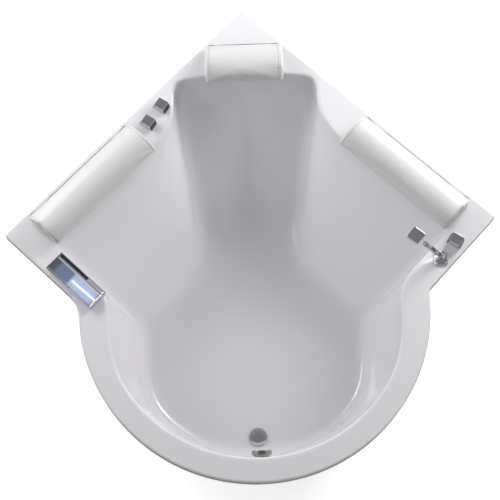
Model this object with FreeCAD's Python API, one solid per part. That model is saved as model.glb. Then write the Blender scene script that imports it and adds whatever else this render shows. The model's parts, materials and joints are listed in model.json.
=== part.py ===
import FreeCAD, Part
import math
import os

from FreeCAD import Vector

# A corner bathtub for two walls at a right angle. The origin is under the middle of the footprint, at the
# floor. +Y points at the corner of the room, +Z up, and the round bowl stands out towards -Y.
# "reach" is a distance from the room's corner towards the bowl, "along" a distance from the corner along a
# wall, "inward" a distance square to that wall, and "rise" a height above the top of the rim. Millimetres.

# ---- driving dimensions -------------------------------------------------------------------------------
WALL_SIDE = 1380.0          # length of each wall side
BOWL_RADIUS = 680.0         # outer radius of the round front
BOWL_REACH = 1301.5         # corner to the bowl's centre
RIM_HEIGHT = 590.0          # top of the rim above the floor
BASIN_DEPTH = 430.0         # rim to the basin's floor
SHELL = 6.0                 # acrylic with its reinforcement
LIP_DROP = 50.0             # height of the downturned lip
LEFT_JUNCTION = 150.0       # hollow fillet where the left wing end runs into the bowl
RIGHT_JUNCTION = 30.0       # the same on the right

# ---- the basin ----------------------------------------------------------------------------------------
BOWL_RIM_RADIUS = 587.0     # inner edge of the front rim
FLOOR_ARC_RADIUS = 520.0    # front of the floor
FLOOR_HALF_WIDTH = 470.0
WING_EDGE = 170.0           # wall to the wing's inner rim edge
WING_SHOULDER = (185.0, 50.0)       # inward, depth: foot of the steep top part
WING_FOOT = 576.0           # inward distance where the wing's slope meets the floor
WING_END = 1277.0           # along: the wing's end wall at the rim
WING_END_FOOT = 1230.0      # and at the floor
TROUGH_EDGE = 323.0         # reach of the trough's back edge
TROUGH_SHOULDER = (338.0, 100.0)    # reach, depth
TROUGH_FOOT = 800.0         # reach where the back slope meets the floor
TROUGH_HALF_WIDTH = 292.0
TROUGH_WALL_DRAFT = 12.0
TROUGH_MOUTH = (900.0, 215.0)       # reach, half width where the trough opens into the floor
TROUGH_CORNER = (60.0, 17.0)        # size and depth of the chamfers that stand for its round back corners

# ---- underneath ---------------------------------------------------------------------------------------
BOARD = 15.0                # base board
BOARD_REACH = (830.0, 1760.0)
BOARD_SHOULDERS = (1270.0, 1520.0)  # reaches between which it is widest
BOARD_HALF = 440.0
BOARD_BACK_HALF = 180.0
BOARD_FRONT_HALF = 200.0
BOARD_HOLE = 60.0           # around the waste
TUBE = 30.0                 # square tube
TUBE_WALL = 2.0
WING_ARM_REACH = 911.0
WING_ARM_END = 784.0
CROSS_REACH = 1600.0
CROSS_HALF = 430.0
SPINE_START = 120.0
BACK_POST_REACH = 150.0
MID_FOOT_REACH = 1180.0
FOOT_ROD_RADIUS = 6.0
FOOT_HOLE_RADIUS = 6.05
FOOT_ROD_TOP = 8.0          # the rod ends this far under the frame's top
ROD_SEAT = 5.0              # and starts this far above the ground, in its pad
FOOT_NUT = 19.0             # across its flats
PAD_RADIUS = 25.0
PAD_TOP_RADIUS = 21.0
PAD_HEIGHT = 12.0
STRUT_FOOT = 552.0          # radius from the bowl's centre
STRUT_TOP = 626.0
STRUT_ANGLES = (-48.0, 14.0, 48.0)
STRUT = (30.0, 5.0)         # flat bar
STRUT_PLATE = 6.0
BRACKET_ALONG = (420.0, 1150.0)
BRACKET_LENGTH = 60.0
BRACKET_LEDGE = 28.0
BRACKET_DROP = 80.0
BRACKET_PLATE = 4.0
APRON_INSET = 15.0          # lip to the apron's top edge
APRON_LEAN = 9.0            # degrees that the apron leans in towards its foot
APRON_THICKNESS = 4.0
APRON_GAP = 15.0            # under the apron
APRON_WALL_GAP = 6.0
PANEL_GAP = 1.5             # between two apron panels
CLIP_ANGLES = (-70.0, -35.0, 0.0, 35.0, 70.0)
CLIP = (24.0, 14.0)         # width and height
CLIP_CLEAR = 0.3            # from the lip's inside
CLIP_BITE = 2.0             # over the apron's outer face
WING_CLIP_INWARD = 200.0

# ---- fittings -----------------------------------------------------------------------------------------
KNOB = (46.0, 42.0, 33.0)   # plan sizes and height
KNOB_TURN = -34.0           # degrees in plan
KNOB_LIFT = 5.0
SPINDLE_RADIUS = 5.0
SPINDLE_CLEAR = 5.05
SPINDLE_DEPTH = 44.0        # its lower end under the deck
SPINDLE_GRIP = 20.0         # how far it goes up into the knob
NECK_RADIUS = 14.5          # the valve's threaded neck through the deck
NECK_DEPTH = 25.0
VALVE_RADIUS = 20.0
VALVE_DEPTH = 70.0
FLANGE_RADIUS = 19.0
FLANGE_HEIGHT = 4.0
VALVE_NUT = 38.0            # across its flats
TAIL_NUT = 34.0
NUT_HEIGHT = 10.0
KNOB_PLACES = {"hot": (-345.0, 446.0), "cold": (-400.0, 520.0), "diverter": (801.0, 1078.0)}
SPOUT_ALONG = (1280.0, 1366.0)
SPOUT_INWARD = (228.0, 470.0)
SPOUT_HEIGHT = 26.0
SPOUT_INLET = 349.0         # inward distance of its inlet
SPOUT_INLET_SHARE = 0.6     # and its place across the housing
SPOUT_WALL = 4.0
SPOUT_CHANNEL = 12.0        # width of the open channel beside the cover plate
SPOUT_RIB = 2.0             # between the channel and the chamber
SPOUT_PLATE = 3.0           # the cover plate's thickness
TAIL_RADIUS = 11.5          # threaded tails through the deck
TAIL_DEPTH = 60.0
FEED_BORE = 9.0
HOSE_BORE = 8.0
PIPE_INWARD = 22.0          # water pipes, from the wall
HOLDER = (737.0, 1145.0)    # x and reach of the shower holder
HOLDER_PLATE = (50.0, 56.0, 8.0)
BAR_FOOT = (736.0, 1137.0, 14.0)    # x, reach and rise where the bar's axis crosses the socket's mouth
BAR_TOP = (650.0, 1125.5, 140.0)
HEAD_CENTRE = (620.4, 1098.3, 152.0)
HEAD_SIZE = (55.0, 55.0, 12.0)
SPIGOT_RADIUS = 8.0
SPIGOT_CLEAR = 8.05
SOCKET_RADIUS = 12.0
HANDLE_BAR = (20.0, 13.0)
KNUCKLE_RADIUS = 7.0
KNUCKLE_PIN = 2.5
SHOWER_NECK = 2.7
NOZZLE_RADIUS = 0.9
NOZZLE_PITCH = 6.0
WASTE_REACH = 1742.0
OVERFLOW_DROP = 62.0
WASTE_BORE = 26.0           # hole in the shell, for the waste and for the overflow
WASTE_TAIL = 25.5           # threaded tails in those holes
WASTE_CLEAR = 25.6
WASTE_FLANGE = 35.0
WASTE_BODY_RADIUS = 31.0
WASTE_BODY_DEPTH = 44.0
WASTE_PORT_DEPTH = 24.0     # axis of the side port under the body's top
GASKET = 3.0
PLUG_RADIUS = 36.0
PLUG_CROWN = 13.0           # top of the plug's dome above the floor
PLUG_CROWN_RADIUS = 110.0
PLUG_STEM_RADIUS = 4.0
TRAP_RADIUS = 42.0
TRAP_HEIGHT = 55.0
TRAP_WALL = 3.0
OUTLET_RADIUS = 20.0
OUTLET_DROP = 28.0          # its axis under the cup's top
OUTLET_TURN = 25.0          # degrees from +Y, so that the drain's pipe passes beside the middle foot
OUTLET_WALL = 2.5
OUTLET_LENGTH = 330.0
OUTLET_STOP = (22.0, 4.0, 80.0)  # a collar's radius and width, and the free pipe beyond it
OVERFLOW_SPINDLE = 6.0
OVERFLOW_SPINDLE_CLEAR = 6.05
CABLE_SIDE = 36.0           # the pull cable runs this far beside the overflow pipe
CABLE_LEVEL = 118.0
CABLE_STOP = 34.0           # where it ends in front of the waste's middle
OVERFLOW_KNOB_RADIUS = 38.0
ELBOW_START = 9.4           # behind the basin's inner face
PIPE_RADIUS = 12.0
PIPE_AXIS = 31.0            # the overflow pipe's distance behind that face
SUPPLY_RADIUS = 7.5         # water pipes
STUD_RADIUS = 3.9
STUD_HOLE = 4.0

# ---- pillows ------------------------------------------------------------------------------------------
WING_PILLOW = (712.0, 1276.0)       # along the wall
BACK_PILLOW_HALF = 165.0
PILLOW_BACK = 145.0         # how far it reaches back over the deck from the basin's edge
PILLOW_FRONT = 38.0         # how far it stands over the basin
PILLOW_HEIGHT = 78.0
WING_STUD = 150.0           # studs, to either side of the pillow's middle
BACK_STUD = 100.0
STUD_BEHIND = 60.0          # and behind the basin's edge

# ---- worked out ---------------------------------------------------------------------------------------
ROOT2 = math.sqrt(2.0)
CORNER_Y = (BOWL_REACH + BOWL_RADIUS) / 2.0
FLOOR_TOP = RIM_HEIGHT - BASIN_DEPTH
BOARD_TOP = FLOOR_TOP - SHELL
FRAME_TOP = BOARD_TOP - BOARD
FRAME_BOTTOM = FRAME_TOP - TUBE
UP = Vector(0, 0, 1)


def at(x, reach, rise=0.0):
    return Vector(x, CORNER_Y - reach, RIM_HEIGHT + rise)


def wall_point(side, along, inward, rise=0.0):
    return Vector(side * (along - inward) / ROOT2, CORNER_Y - (along + inward) / ROOT2, RIM_HEIGHT + rise)


def polygon(points):
    return Part.makePolygon(list(points) + [points[0]])


def prism(points, direction):
    return Part.Face(polygon(points)).extrude(direction)


def bar(start, end, width, height):
    """A square-ended bar from start to end, its width level and its height square to both."""
    run = end - start
    length = run.Length
    shape = Part.makeBox(length, width, height, Vector(0, -width / 2.0, -height / 2.0))
    level = Vector(-run.y, run.x, 0)
    if level.Length < 1e-6:
        level = Vector(0, 1, 0)
    rotation = FreeCAD.Rotation(run, level, run.cross(level), "XYZ")
    shape.Placement = FreeCAD.Placement(start, rotation)
    return shape


def rod(start, end, radius):
    run = end - start
    return Part.makeCylinder(radius, run.Length, start, run)


def hex_nut(centre, across, height, hole):
    """A hexagonal nut whose lower face's middle is at centre."""
    corner_radius = across / math.sqrt(3.0)
    corners = []
    for step in range(6):
        angle = math.radians(60.0 * step)
        corners.append(Vector(corner_radius * math.cos(angle), corner_radius * math.sin(angle), 0))
    nut = prism(corners, Vector(0, 0, height)).cut(Part.makeCylinder(hole, height))
    nut.translate(centre)
    return nut


def disc(base, radius, height, hole=0.0, axis=UP):
    """A cylinder that starts at base, with a hole through it where hole isn't zero."""
    shape = Part.makeCylinder(radius, height, base, axis)
    return shape.cut(Part.makeCylinder(hole, height, base, axis)) if hole else shape


def rounded_block(length, width, height, corner, edge=0.0):
    """A block centred on the origin in plan, standing on z = 0, with round upright corners."""
    block = Part.makeBox(length, width, height, Vector(-length / 2.0, -width / 2.0, 0))
    upright = [e for e in block.Edges if abs(e.tangentAt(e.FirstParameter).z) > 0.9]
    block = block.makeFillet(corner, upright)
    if edge:
        top = [e for e in block.Edges if e.BoundBox.ZMin > height - 1e-3]
        block = block.makeFillet(edge, top)
    return block


def turned(shape, degrees, place):
    shape = shape.copy()
    shape.Placement = FreeCAD.Placement(place, FreeCAD.Rotation(UP, degrees))
    return shape


def line_through(points, pull):
    """The polyline of points (a, b), moved by pull to its right and mitred at its corners."""
    lines = []
    for (a0, b0), (a1, b1) in zip(points, points[1:]):
        length = math.hypot(a1 - a0, b1 - b0)
        na, nb = (b1 - b0) / length, -(a1 - a0) / length
        lines.append((na, nb, na * a0 + nb * b0 + pull))
    moved = [(points[0][0] + lines[0][0] * pull, points[0][1] + lines[0][1] * pull)]
    for (a, b, c), (d, e, f) in zip(lines, lines[1:]):
        det = a * e - b * d
        moved.append(((c * e - b * f) / det, (a * f - c * d) / det))
    last = lines[-1]
    moved.append((points[-1][0] + last[0] * pull, points[-1][1] + last[1] * pull))
    return moved


def pipe_path(points, bend):
    """Straight runs joined by tangent arcs of radius bend."""
    edges = []
    start = points[0]
    for before, corner, after in zip(points, points[1:], points[2:]):
        back = (before - corner).normalize()
        ahead = (after - corner).normalize()
        half = back.getAngle(ahead) / 2.0
        cut = bend / math.tan(half)
        middle = corner + (back + ahead).normalize() * (bend / math.sin(half) - bend)
        first = corner + back * cut
        last = corner + ahead * cut
        edges.append(Part.LineSegment(start, first).toShape())
        edges.append(Part.Arc(first, middle, last).toShape())
        start = last
    edges.append(Part.LineSegment(start, points[-1]).toShape())
    return Part.Wire(edges)


def pipe(points, bend, radius, wall=0.0):
    path = pipe_path(points, bend)
    heading = points[1] - points[0]

    def swept(size):
        ring = Part.Wire(Part.makeCircle(size, points[0], heading))
        return path.makePipeShell([ring], True, False)

    solid = swept(radius)
    if wall:
        solid = solid.cut(swept(radius - wall))
    return solid


# ---- the tub's outline --------------------------------------------------------------------------------
def junction(side, inset, fillet):
    """Tangent points and middle of the hollow fillet between a wing's end edge and the bowl's circle."""
    reach_along = BOWL_REACH / ROOT2
    centre_along = WALL_SIDE + fillet
    gap = centre_along - reach_along
    centre_inward = reach_along - math.sqrt((BOWL_RADIUS + fillet) ** 2 - gap ** 2)
    centre = wall_point(side, centre_along, centre_inward)
    bowl = at(0, BOWL_REACH)
    on_end = wall_point(side, WALL_SIDE - inset, centre_inward)
    outward = (centre - bowl).normalize()
    on_bowl = bowl + outward * (BOWL_RADIUS - inset)
    size = fillet + inset
    halfway = ((on_end - centre).normalize() + (on_bowl - centre).normalize()).normalize()
    return on_end, centre + halfway * size, on_bowl


def outline(inset, wall_inset, z):
    """The closed outline of the tub in plan, drawn in by inset at its free edges, at height z."""
    def level(point):
        return Vector(point.x, point.y, z)

    corner = level(wall_point(1, wall_inset, wall_inset))
    right_tip = level(wall_point(1, WALL_SIDE - inset, wall_inset))
    left_tip = level(wall_point(-1, WALL_SIDE - inset, wall_inset))
    right = [level(p) for p in junction(1, inset, RIGHT_JUNCTION)]
    left = [level(p) for p in junction(-1, inset, LEFT_JUNCTION)]
    front = level(at(0, BOWL_REACH + BOWL_RADIUS - inset))
    edges = [
        Part.LineSegment(corner, right_tip).toShape(),
        Part.LineSegment(right_tip, right[0]).toShape(),
        Part.Arc(right[0], right[1], right[2]).toShape(),
        Part.Arc(right[2], front, left[2]).toShape(),
        Part.Arc(left[2], left[1], left[0]).toShape(),
        Part.LineSegment(left[0], left_tip).toShape(),
        Part.LineSegment(left_tip, corner).toShape(),
    ]
    return Part.Wire(edges)


def outline_slab(inset, wall_inset, low, high):
    return Part.Face(outline(inset, wall_inset, low)).extrude(Vector(0, 0, high - low))


# ---- the basin's hollow, grown by the shell's thickness for its outside -------------------------------
def above_wing(side, grow):
    """Everything over one wing's slope and the floor, up past the rim."""
    far, before, beyond, over = 2600.0, -600.0, 2400.0, 60.0
    slope = [(WING_EDGE, 0.0), (WING_SHOULDER[0], -WING_SHOULDER[1])]
    slope += [(WING_FOOT, -BASIN_DEPTH), (far, -BASIN_DEPTH)]
    moved = line_through(slope, grow)
    first, second = moved[0], moved[1]
    lean = (second[0] - first[0]) / (second[1] - first[1])
    top = (first[0] + (over - first[1]) * lean, over)
    section = [top] + moved[1:] + [(far, over)]
    points = [wall_point(side, before, inward, rise) for inward, rise in section]
    run = wall_point(side, beyond, 0.0) - wall_point(side, before, 0.0)
    return prism(points, run)


def wing_box(grow):
    """The wings in plan, closed at both ends by leaning end walls; the slopes are cut from it."""
    back, front = 500.0, 1355.0     # reaches inside the trough and inside the bowl

    def ring(end, z):
        points = [(-(ROOT2 * end - back), back), (ROOT2 * end - back, back)]
        points += [(ROOT2 * end - front, front), (-(ROOT2 * end - front), front)]
        return polygon([Vector(x, CORNER_Y - reach, z) for x, reach in points])

    top = ring(WING_END + grow, RIM_HEIGHT)
    foot = ring(WING_END_FOOT + grow, FLOOR_TOP - grow)
    return Part.makeLoft([foot, top], True, True)


def bowl_box(grow):
    """The round front of the basin, from the floor's outline up to the rim's."""
    back = 1200.0

    def ring(half, radius, z):
        turn = BOWL_REACH + math.sqrt(radius ** 2 - half ** 2)
        right_back, right_turn = Vector(half, CORNER_Y - back, z), Vector(half, CORNER_Y - turn, z)
        left_back, left_turn = Vector(-half, CORNER_Y - back, z), Vector(-half, CORNER_Y - turn, z)
        front = Vector(0, CORNER_Y - BOWL_REACH - radius, z)
        return Part.Wire([
            Part.LineSegment(right_back, right_turn).toShape(),
            Part.Arc(right_turn, front, left_turn).toShape(),
            Part.LineSegment(left_turn, left_back).toShape(),
            Part.LineSegment(left_back, right_back).toShape(),
        ])

    top = ring(BOWL_RIM_RADIUS + grow - 0.5, BOWL_RIM_RADIUS + grow, RIM_HEIGHT)
    foot = ring(FLOOR_HALF_WIDTH + grow, FLOOR_ARC_RADIUS + grow, FLOOR_TOP - grow)
    return Part.makeLoft([foot, top], True, True)


def trough_box(grow):
    """The central back lounger: a slope between two steep sides."""
    slope = [(TROUGH_EDGE, 0.0), (TROUGH_SHOULDER[0], -TROUGH_SHOULDER[1]), (TROUGH_FOOT, -BASIN_DEPTH)]
    end, over, side_reach = 1290.0, 20.0, 450.0
    slope.append((end, -BASIN_DEPTH))
    section = line_through(slope, grow)
    section = [(section[0][0], over)] + section + [(end, over)]
    side_view = prism([at(-side_reach, reach, rise) for reach, rise in section], Vector(2 * side_reach, 0, 0))
    mouth_reach, mouth_half = TROUGH_MOUTH
    corner_run, corner_step = TROUGH_CORNER

    def ring(draft, z):
        half = TROUGH_HALF_WIDTH + grow - draft
        right = [(half - corner_run, TROUGH_EDGE - grow)]
        right += [(half - corner_step, TROUGH_EDGE + corner_step - grow), (half, TROUGH_EDGE + corner_run)]
        right += [(mouth_half + grow - draft, mouth_reach), (mouth_half + grow - draft, end)]
        left = [(-x, reach) for x, reach in reversed(right)]
        return polygon([Vector(x, CORNER_Y - reach, z) for x, reach in right + left])

    plan = Part.makeLoft([ring(TROUGH_WALL_DRAFT, FLOOR_TOP - grow), ring(0.0, RIM_HEIGHT)], True, True)
    return side_view.common(plan)


def basin(grow):
    body = wing_box(grow).fuse(bowl_box(grow))
    body = body.common(above_wing(1, grow)).common(above_wing(-1, grow))
    return body.fuse(trough_box(grow)).removeSplitter()


def waste_point(z):
    return Vector(0, CORNER_Y - WASTE_REACH, z)


def overflow_frame():
    """Middle of the overflow on the front wall, and the wall's normal into the basin."""
    run = BOWL_RIM_RADIUS - FLOOR_ARC_RADIUS
    lean = math.atan2(run, BASIN_DEPTH)
    radius = BOWL_RIM_RADIUS - OVERFLOW_DROP * math.tan(lean)
    return at(0, BOWL_REACH + radius, -OVERFLOW_DROP), Vector(0, math.cos(lean), math.sin(lean))


def pillow_stud_places():
    places = []
    middle = sum(WING_PILLOW) / 2.0
    for side in (1, -1):
        for offset in (-WING_STUD, WING_STUD):
            places.append(wall_point(side, middle + offset, WING_EDGE - STUD_BEHIND))
    for x in (-BACK_STUD, BACK_STUD):
        places.append(at(x, TROUGH_EDGE - STUD_BEHIND))
    return places


def spout_inlet(rise=0.0):
    low, high = SPOUT_ALONG
    return wall_point(-1, low + (high - low) * SPOUT_INLET_SHARE, SPOUT_INLET, rise)


def bar_axis():
    foot, top = at(*BAR_FOOT), at(*BAR_TOP)
    return foot, top, (top - foot).normalize()


def tub_shell():
    plate = outline_slab(0, 0, RIM_HEIGHT - SHELL, RIM_HEIGHT)
    lip = outline_slab(0, 0, RIM_HEIGHT - LIP_DROP, RIM_HEIGHT)
    lip = lip.cut(outline_slab(SHELL, SHELL, RIM_HEIGHT - LIP_DROP, RIM_HEIGHT))
    shell = plate.fuse(lip).fuse(basin(SHELL)).cut(basin(0.0))
    clear = 0.5
    below, length = 30.0, 60.0
    holes = [disc(waste_point(FLOOR_TOP - below), WASTE_BORE, length)]
    middle, inwards = overflow_frame()
    holes.append(disc(middle - inwards * below, WASTE_BORE, length, axis=inwards))
    for x, reach in KNOB_PLACES.values():
        holes.append(disc(at(x, reach, -below), NECK_RADIUS + clear, length))
    for place in (spout_inlet(-below), at(HOLDER[0], HOLDER[1], -below)):
        holes.append(disc(place, TAIL_RADIUS + clear, length))
    for place in pillow_stud_places():
        holes.append(disc(place - UP * below, STUD_HOLE, length))
    return shell.cut(Part.makeCompound(holes)).removeSplitter()


# ---- board, frame, feet, brackets ---------------------------------------------------------------------
def base_board():
    right = [(BOARD_BACK_HALF, BOARD_REACH[0]), (BOARD_HALF, BOARD_SHOULDERS[0])]
    right += [(BOARD_HALF, BOARD_SHOULDERS[1]), (BOARD_FRONT_HALF, BOARD_REACH[1])]
    points = right + [(-x, reach) for x, reach in reversed(right)]
    board = prism([Vector(x, CORNER_Y - reach, FRAME_TOP) for x, reach in points], Vector(0, 0, BOARD))
    return board.cut(disc(waste_point(FRAME_TOP - BOARD), BOARD_HOLE, 3 * BOARD))


def box_tube(start, end):
    return bar(start, end, TUBE, TUBE).cut(bar(start, end, TUBE - 2 * TUBE_WALL, TUBE - 2 * TUBE_WALL))


def foot_places():
    post = WING_ARM_END - TUBE / 2.0
    front = CROSS_HALF - PAD_RADIUS
    return {
        "back": (0.0, BACK_POST_REACH),
        "left_wing": (-post, WING_ARM_REACH),
        "right_wing": (post, WING_ARM_REACH),
        "middle": (0.0, MID_FOOT_REACH),
        "front_left": (-front, CROSS_REACH),
        "front_right": (front, CROSS_REACH),
    }


def foot_holes():
    """Threaded holes, up from below through the lower wall and most of the tube's hollow."""
    below = 5.0
    holes = []
    for x, reach in foot_places().values():
        holes.append(disc(Vector(x, CORNER_Y - reach, FRAME_BOTTOM - below), FOOT_HOLE_RADIUS, TUBE - below))
    return Part.makeCompound(holes)


def frame_tubes():
    level = FRAME_BOTTOM + TUBE / 2.0
    half = TUBE / 2.0

    def on_frame(x, reach):
        return Vector(x, CORNER_Y - reach, level)

    arms = [box_tube(on_frame(side * half, WING_ARM_REACH), on_frame(side * WING_ARM_END, WING_ARM_REACH))
            for side in (-1, 1)]
    tubes = {
        "frame_spine": box_tube(on_frame(0, SPINE_START), on_frame(0, CROSS_REACH - half)),
        "frame_wing_arms": Part.makeCompound(arms),
        "frame_cross_tube": box_tube(on_frame(-CROSS_HALF, CROSS_REACH), on_frame(CROSS_HALF, CROSS_REACH)),
    }
    holes = foot_holes()
    return {name: shape.cut(holes) for name, shape in tubes.items()}


def frame_uprights():
    posts = []
    for name in ("back", "left_wing", "right_wing"):
        x, reach = foot_places()[name]
        foot = Vector(x, CORNER_Y - reach, FRAME_TOP)
        posts.append(box_tube(foot, Vector(x, CORNER_Y - reach, RIM_HEIGHT - SHELL)))
    return Part.makeCompound(posts)


def rim_strut(angle):
    """A slanting flat strut from the cross tube up between the bowl's wall and the apron."""
    bowl = at(0, BOWL_REACH)
    level = FRAME_BOTTOM + TUBE / 2.0
    turn = math.radians(angle)
    outward = Vector(math.sin(turn), -math.cos(turn), 0)
    inside_tube = 20.0
    start = (CROSS_REACH + TUBE / 2.0 - BOWL_REACH) / math.cos(turn) - inside_tube
    width, thickness = STRUT
    pad_half, pad_width = 22.0, 40.0

    def spot(radius, z):
        return Vector(bowl.x, bowl.y, z) + outward * radius

    top = RIM_HEIGHT - SHELL - STRUT_PLATE
    strut = bar(spot(STRUT_FOOT, FRAME_BOTTOM + STRUT_PLATE / 2.0), spot(STRUT_TOP, top), width, thickness)
    tie = bar(spot(start, level), spot(STRUT_FOOT, level), width, STRUT_PLATE)
    pad_level = top + STRUT_PLATE / 2.0
    pad_ends = [spot(STRUT_TOP + way * pad_half, pad_level) for way in (-1, 1)]
    pad = bar(pad_ends[0], pad_ends[1], pad_width, STRUT_PLATE)
    tube_ends = [at(way * CROSS_HALF, CROSS_REACH, level - RIM_HEIGHT) for way in (-1, 1)]
    tube_space = bar(tube_ends[0], tube_ends[1], TUBE, TUBE)
    return strut.fuse(tie).fuse(pad).cut(tube_space).removeSplitter()


def rim_struts():
    return Part.makeCompound([rim_strut(angle) for angle in STRUT_ANGLES])


def feet():
    """A threaded rod in its own pad, for each place: two solids in one node."""
    pieces = {}
    for name, (x, reach) in foot_places().items():
        ground = Vector(x, CORNER_Y - reach, 0)
        seat = ground + UP * ROD_SEAT
        pad = Part.makeCone(PAD_RADIUS, PAD_TOP_RADIUS, PAD_HEIGHT, ground)
        pad = pad.cut(disc(seat, FOOT_ROD_RADIUS, PAD_HEIGHT))
        screw = disc(seat, FOOT_ROD_RADIUS, FRAME_TOP - FOOT_ROD_TOP - ROD_SEAT)
        pieces["foot_" + name] = Part.makeCompound([pad, screw])
    return pieces


def foot_nuts():
    nuts = []
    for x, reach in foot_places().values():
        base = Vector(x, CORNER_Y - reach, FRAME_BOTTOM - NUT_HEIGHT)
        nuts.append(hex_nut(base, FOOT_NUT, NUT_HEIGHT, FOOT_HOLE_RADIUS))
    return Part.makeCompound(nuts)


def wall_bracket(side, along):
    """An angle screwed to the wall, on whose ledge the lip's lower edge stands."""
    ledge = -LIP_DROP
    under, foot = ledge - BRACKET_PLATE, ledge - BRACKET_DROP
    section = [(0.0, ledge), (BRACKET_LEDGE, ledge), (BRACKET_LEDGE, under), (BRACKET_PLATE, under)]
    section += [(BRACKET_PLATE, foot), (0.0, foot)]
    points = [wall_point(side, along - BRACKET_LENGTH / 2.0, inward, rise) for inward, rise in section]
    bracket = prism(points, wall_point(side, BRACKET_LENGTH, 0.0) - wall_point(side, 0.0, 0.0))
    axis = wall_point(side, 0.0, 1.0) - wall_point(side, 0.0, 0.0)
    screw_radius, screw_drop = 3.5, 50.0
    for offset in (-BRACKET_LENGTH / 4.0, BRACKET_LENGTH / 4.0):
        start = wall_point(side, along + offset, -BRACKET_PLATE, ledge - screw_drop)
        bracket = bracket.cut(disc(start, screw_radius, 3 * BRACKET_PLATE, axis=axis))
    return bracket


def wall_brackets():
    return Part.makeCompound([wall_bracket(side, along) for side in (-1, 1) for along in BRACKET_ALONG])


# ---- apron --------------------------------------------------------------------------------------------
def apron_skin():
    under_rim, beyond_wall = 4.0, -40.0
    high = RIM_HEIGHT - SHELL - under_rim
    low = APRON_GAP
    lean_in = (high - low) * math.tan(math.radians(APRON_LEAN))

    def leaning(extra, wall_inset):
        top = outline(APRON_INSET + extra, wall_inset, high)
        foot = outline(APRON_INSET + extra + lean_in, wall_inset, low)
        return Part.makeLoft([foot, top], True, True)

    return leaning(0.0, APRON_WALL_GAP).cut(leaning(APRON_THICKNESS, beyond_wall))


def bowl_sector(shrink):
    """The plan sector of the bowl's own apron panel, between the two junction fillets."""
    bowl = at(0, BOWL_REACH)
    far = 1500.0
    right = (junction(1, 0.0, RIGHT_JUNCTION)[2] - bowl).normalize()
    left = (junction(-1, 0.0, LEFT_JUNCTION)[2] - bowl).normalize()
    apex = Vector(0, bowl.y - shrink, 0)
    points = [apex, apex + right * far, apex + Vector(far, -far, 0)]
    points += [apex + Vector(-far, -far, 0), apex + left * far]
    return prism([Vector(p.x, p.y, 0) for p in points], Vector(0, 0, RIM_HEIGHT))


def apron_panels():
    half = 1200.0
    skin = apron_skin()
    bowl_panel = skin.common(bowl_sector(PANEL_GAP))
    rest = skin.cut(bowl_sector(0.0))
    left = rest.common(Part.makeBox(half, 2 * half, RIM_HEIGHT, Vector(-half, -half, 0)))
    right = rest.common(Part.makeBox(half, 2 * half, RIM_HEIGHT, Vector(0.0, -half, 0)))
    return {"apron_bowl": bowl_panel, "apron_wing_end_left": left, "apron_wing_end_right": right}


def apron_clips():
    """Blocks that fill the gap between lip and apron, on the bowl's front and on both wing ends."""
    drop = -30.0
    width, height = CLIP
    inner, outer = APRON_INSET + CLIP_BITE, SHELL + CLIP_CLEAR
    base = at(0, BOWL_REACH, drop)
    clips = []
    for angle in CLIP_ANGLES:
        turn = math.radians(angle)
        outward = Vector(math.sin(turn), -math.cos(turn), 0)
        start, end = [base + outward * (BOWL_RADIUS - inset) for inset in (inner, outer)]
        clips.append(bar(start, end, width, height))
    for side in (1, -1):
        start, end = [wall_point(side, WALL_SIDE - inset, WING_CLIP_INWARD, drop) for inset in (inner, outer)]
        clips.append(bar(start, end, width, height))
    return Part.makeCompound(clips)


# ---- valves -------------------------------------------------------------------------------------------
def valve_knob(name):
    """The square knob and the spindle that it is pressed on."""
    x, reach = KNOB_PLACES[name]
    deck = at(x, reach)
    corner, edge = 2.5, 2.0
    knob = rounded_block(KNOB[0], KNOB[1], KNOB[2], corner, edge)
    knob = knob.cut(Part.makeCylinder(SPINDLE_RADIUS, SPINDLE_GRIP))
    spindle = disc(deck - UP * SPINDLE_DEPTH, SPINDLE_RADIUS, SPINDLE_DEPTH + KNOB_LIFT + SPINDLE_GRIP)
    return {name + "_knob": turned(knob, KNOB_TURN, deck + UP * KNOB_LIFT), name + "_spindle": spindle}


def valve_body(name):
    x, reach = KNOB_PLACES[name]
    seat = SPINDLE_DEPTH + 1.0
    neck = disc(at(x, reach, -NECK_DEPTH), NECK_RADIUS, NECK_DEPTH)
    body = disc(at(x, reach, -VALVE_DEPTH), VALVE_RADIUS, VALVE_DEPTH - NECK_DEPTH)
    return neck.fuse(body).cut(disc(at(x, reach, -seat), SPINDLE_CLEAR, seat))


def valves():
    nodes = {}
    for name in KNOB_PLACES:
        nodes.update(valve_knob(name))
    places = list(KNOB_PLACES.values())
    flanges = [disc(at(x, reach), FLANGE_RADIUS, FLANGE_HEIGHT, SPINDLE_CLEAR) for x, reach in places]
    under = -SHELL - NUT_HEIGHT
    nuts = [hex_nut(at(x, reach, under), VALVE_NUT, NUT_HEIGHT, NECK_RADIUS) for x, reach in places]
    nodes["valve_bodies"] = Part.makeCompound([valve_body(name) for name in KNOB_PLACES])
    nodes["valve_flanges"] = Part.makeCompound(flanges)
    nodes["valve_back_nuts"] = Part.makeCompound(nuts)
    return nodes


# ---- filler -------------------------------------------------------------------------------------------
def spout_box(along, inward, low, high):
    points = [wall_point(-1, along[0], inward[0], low), wall_point(-1, along[1], inward[0], low)]
    points += [wall_point(-1, along[1], inward[1], low), wall_point(-1, along[0], inward[1], low)]
    return prism(points, Vector(0, 0, high - low))


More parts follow.
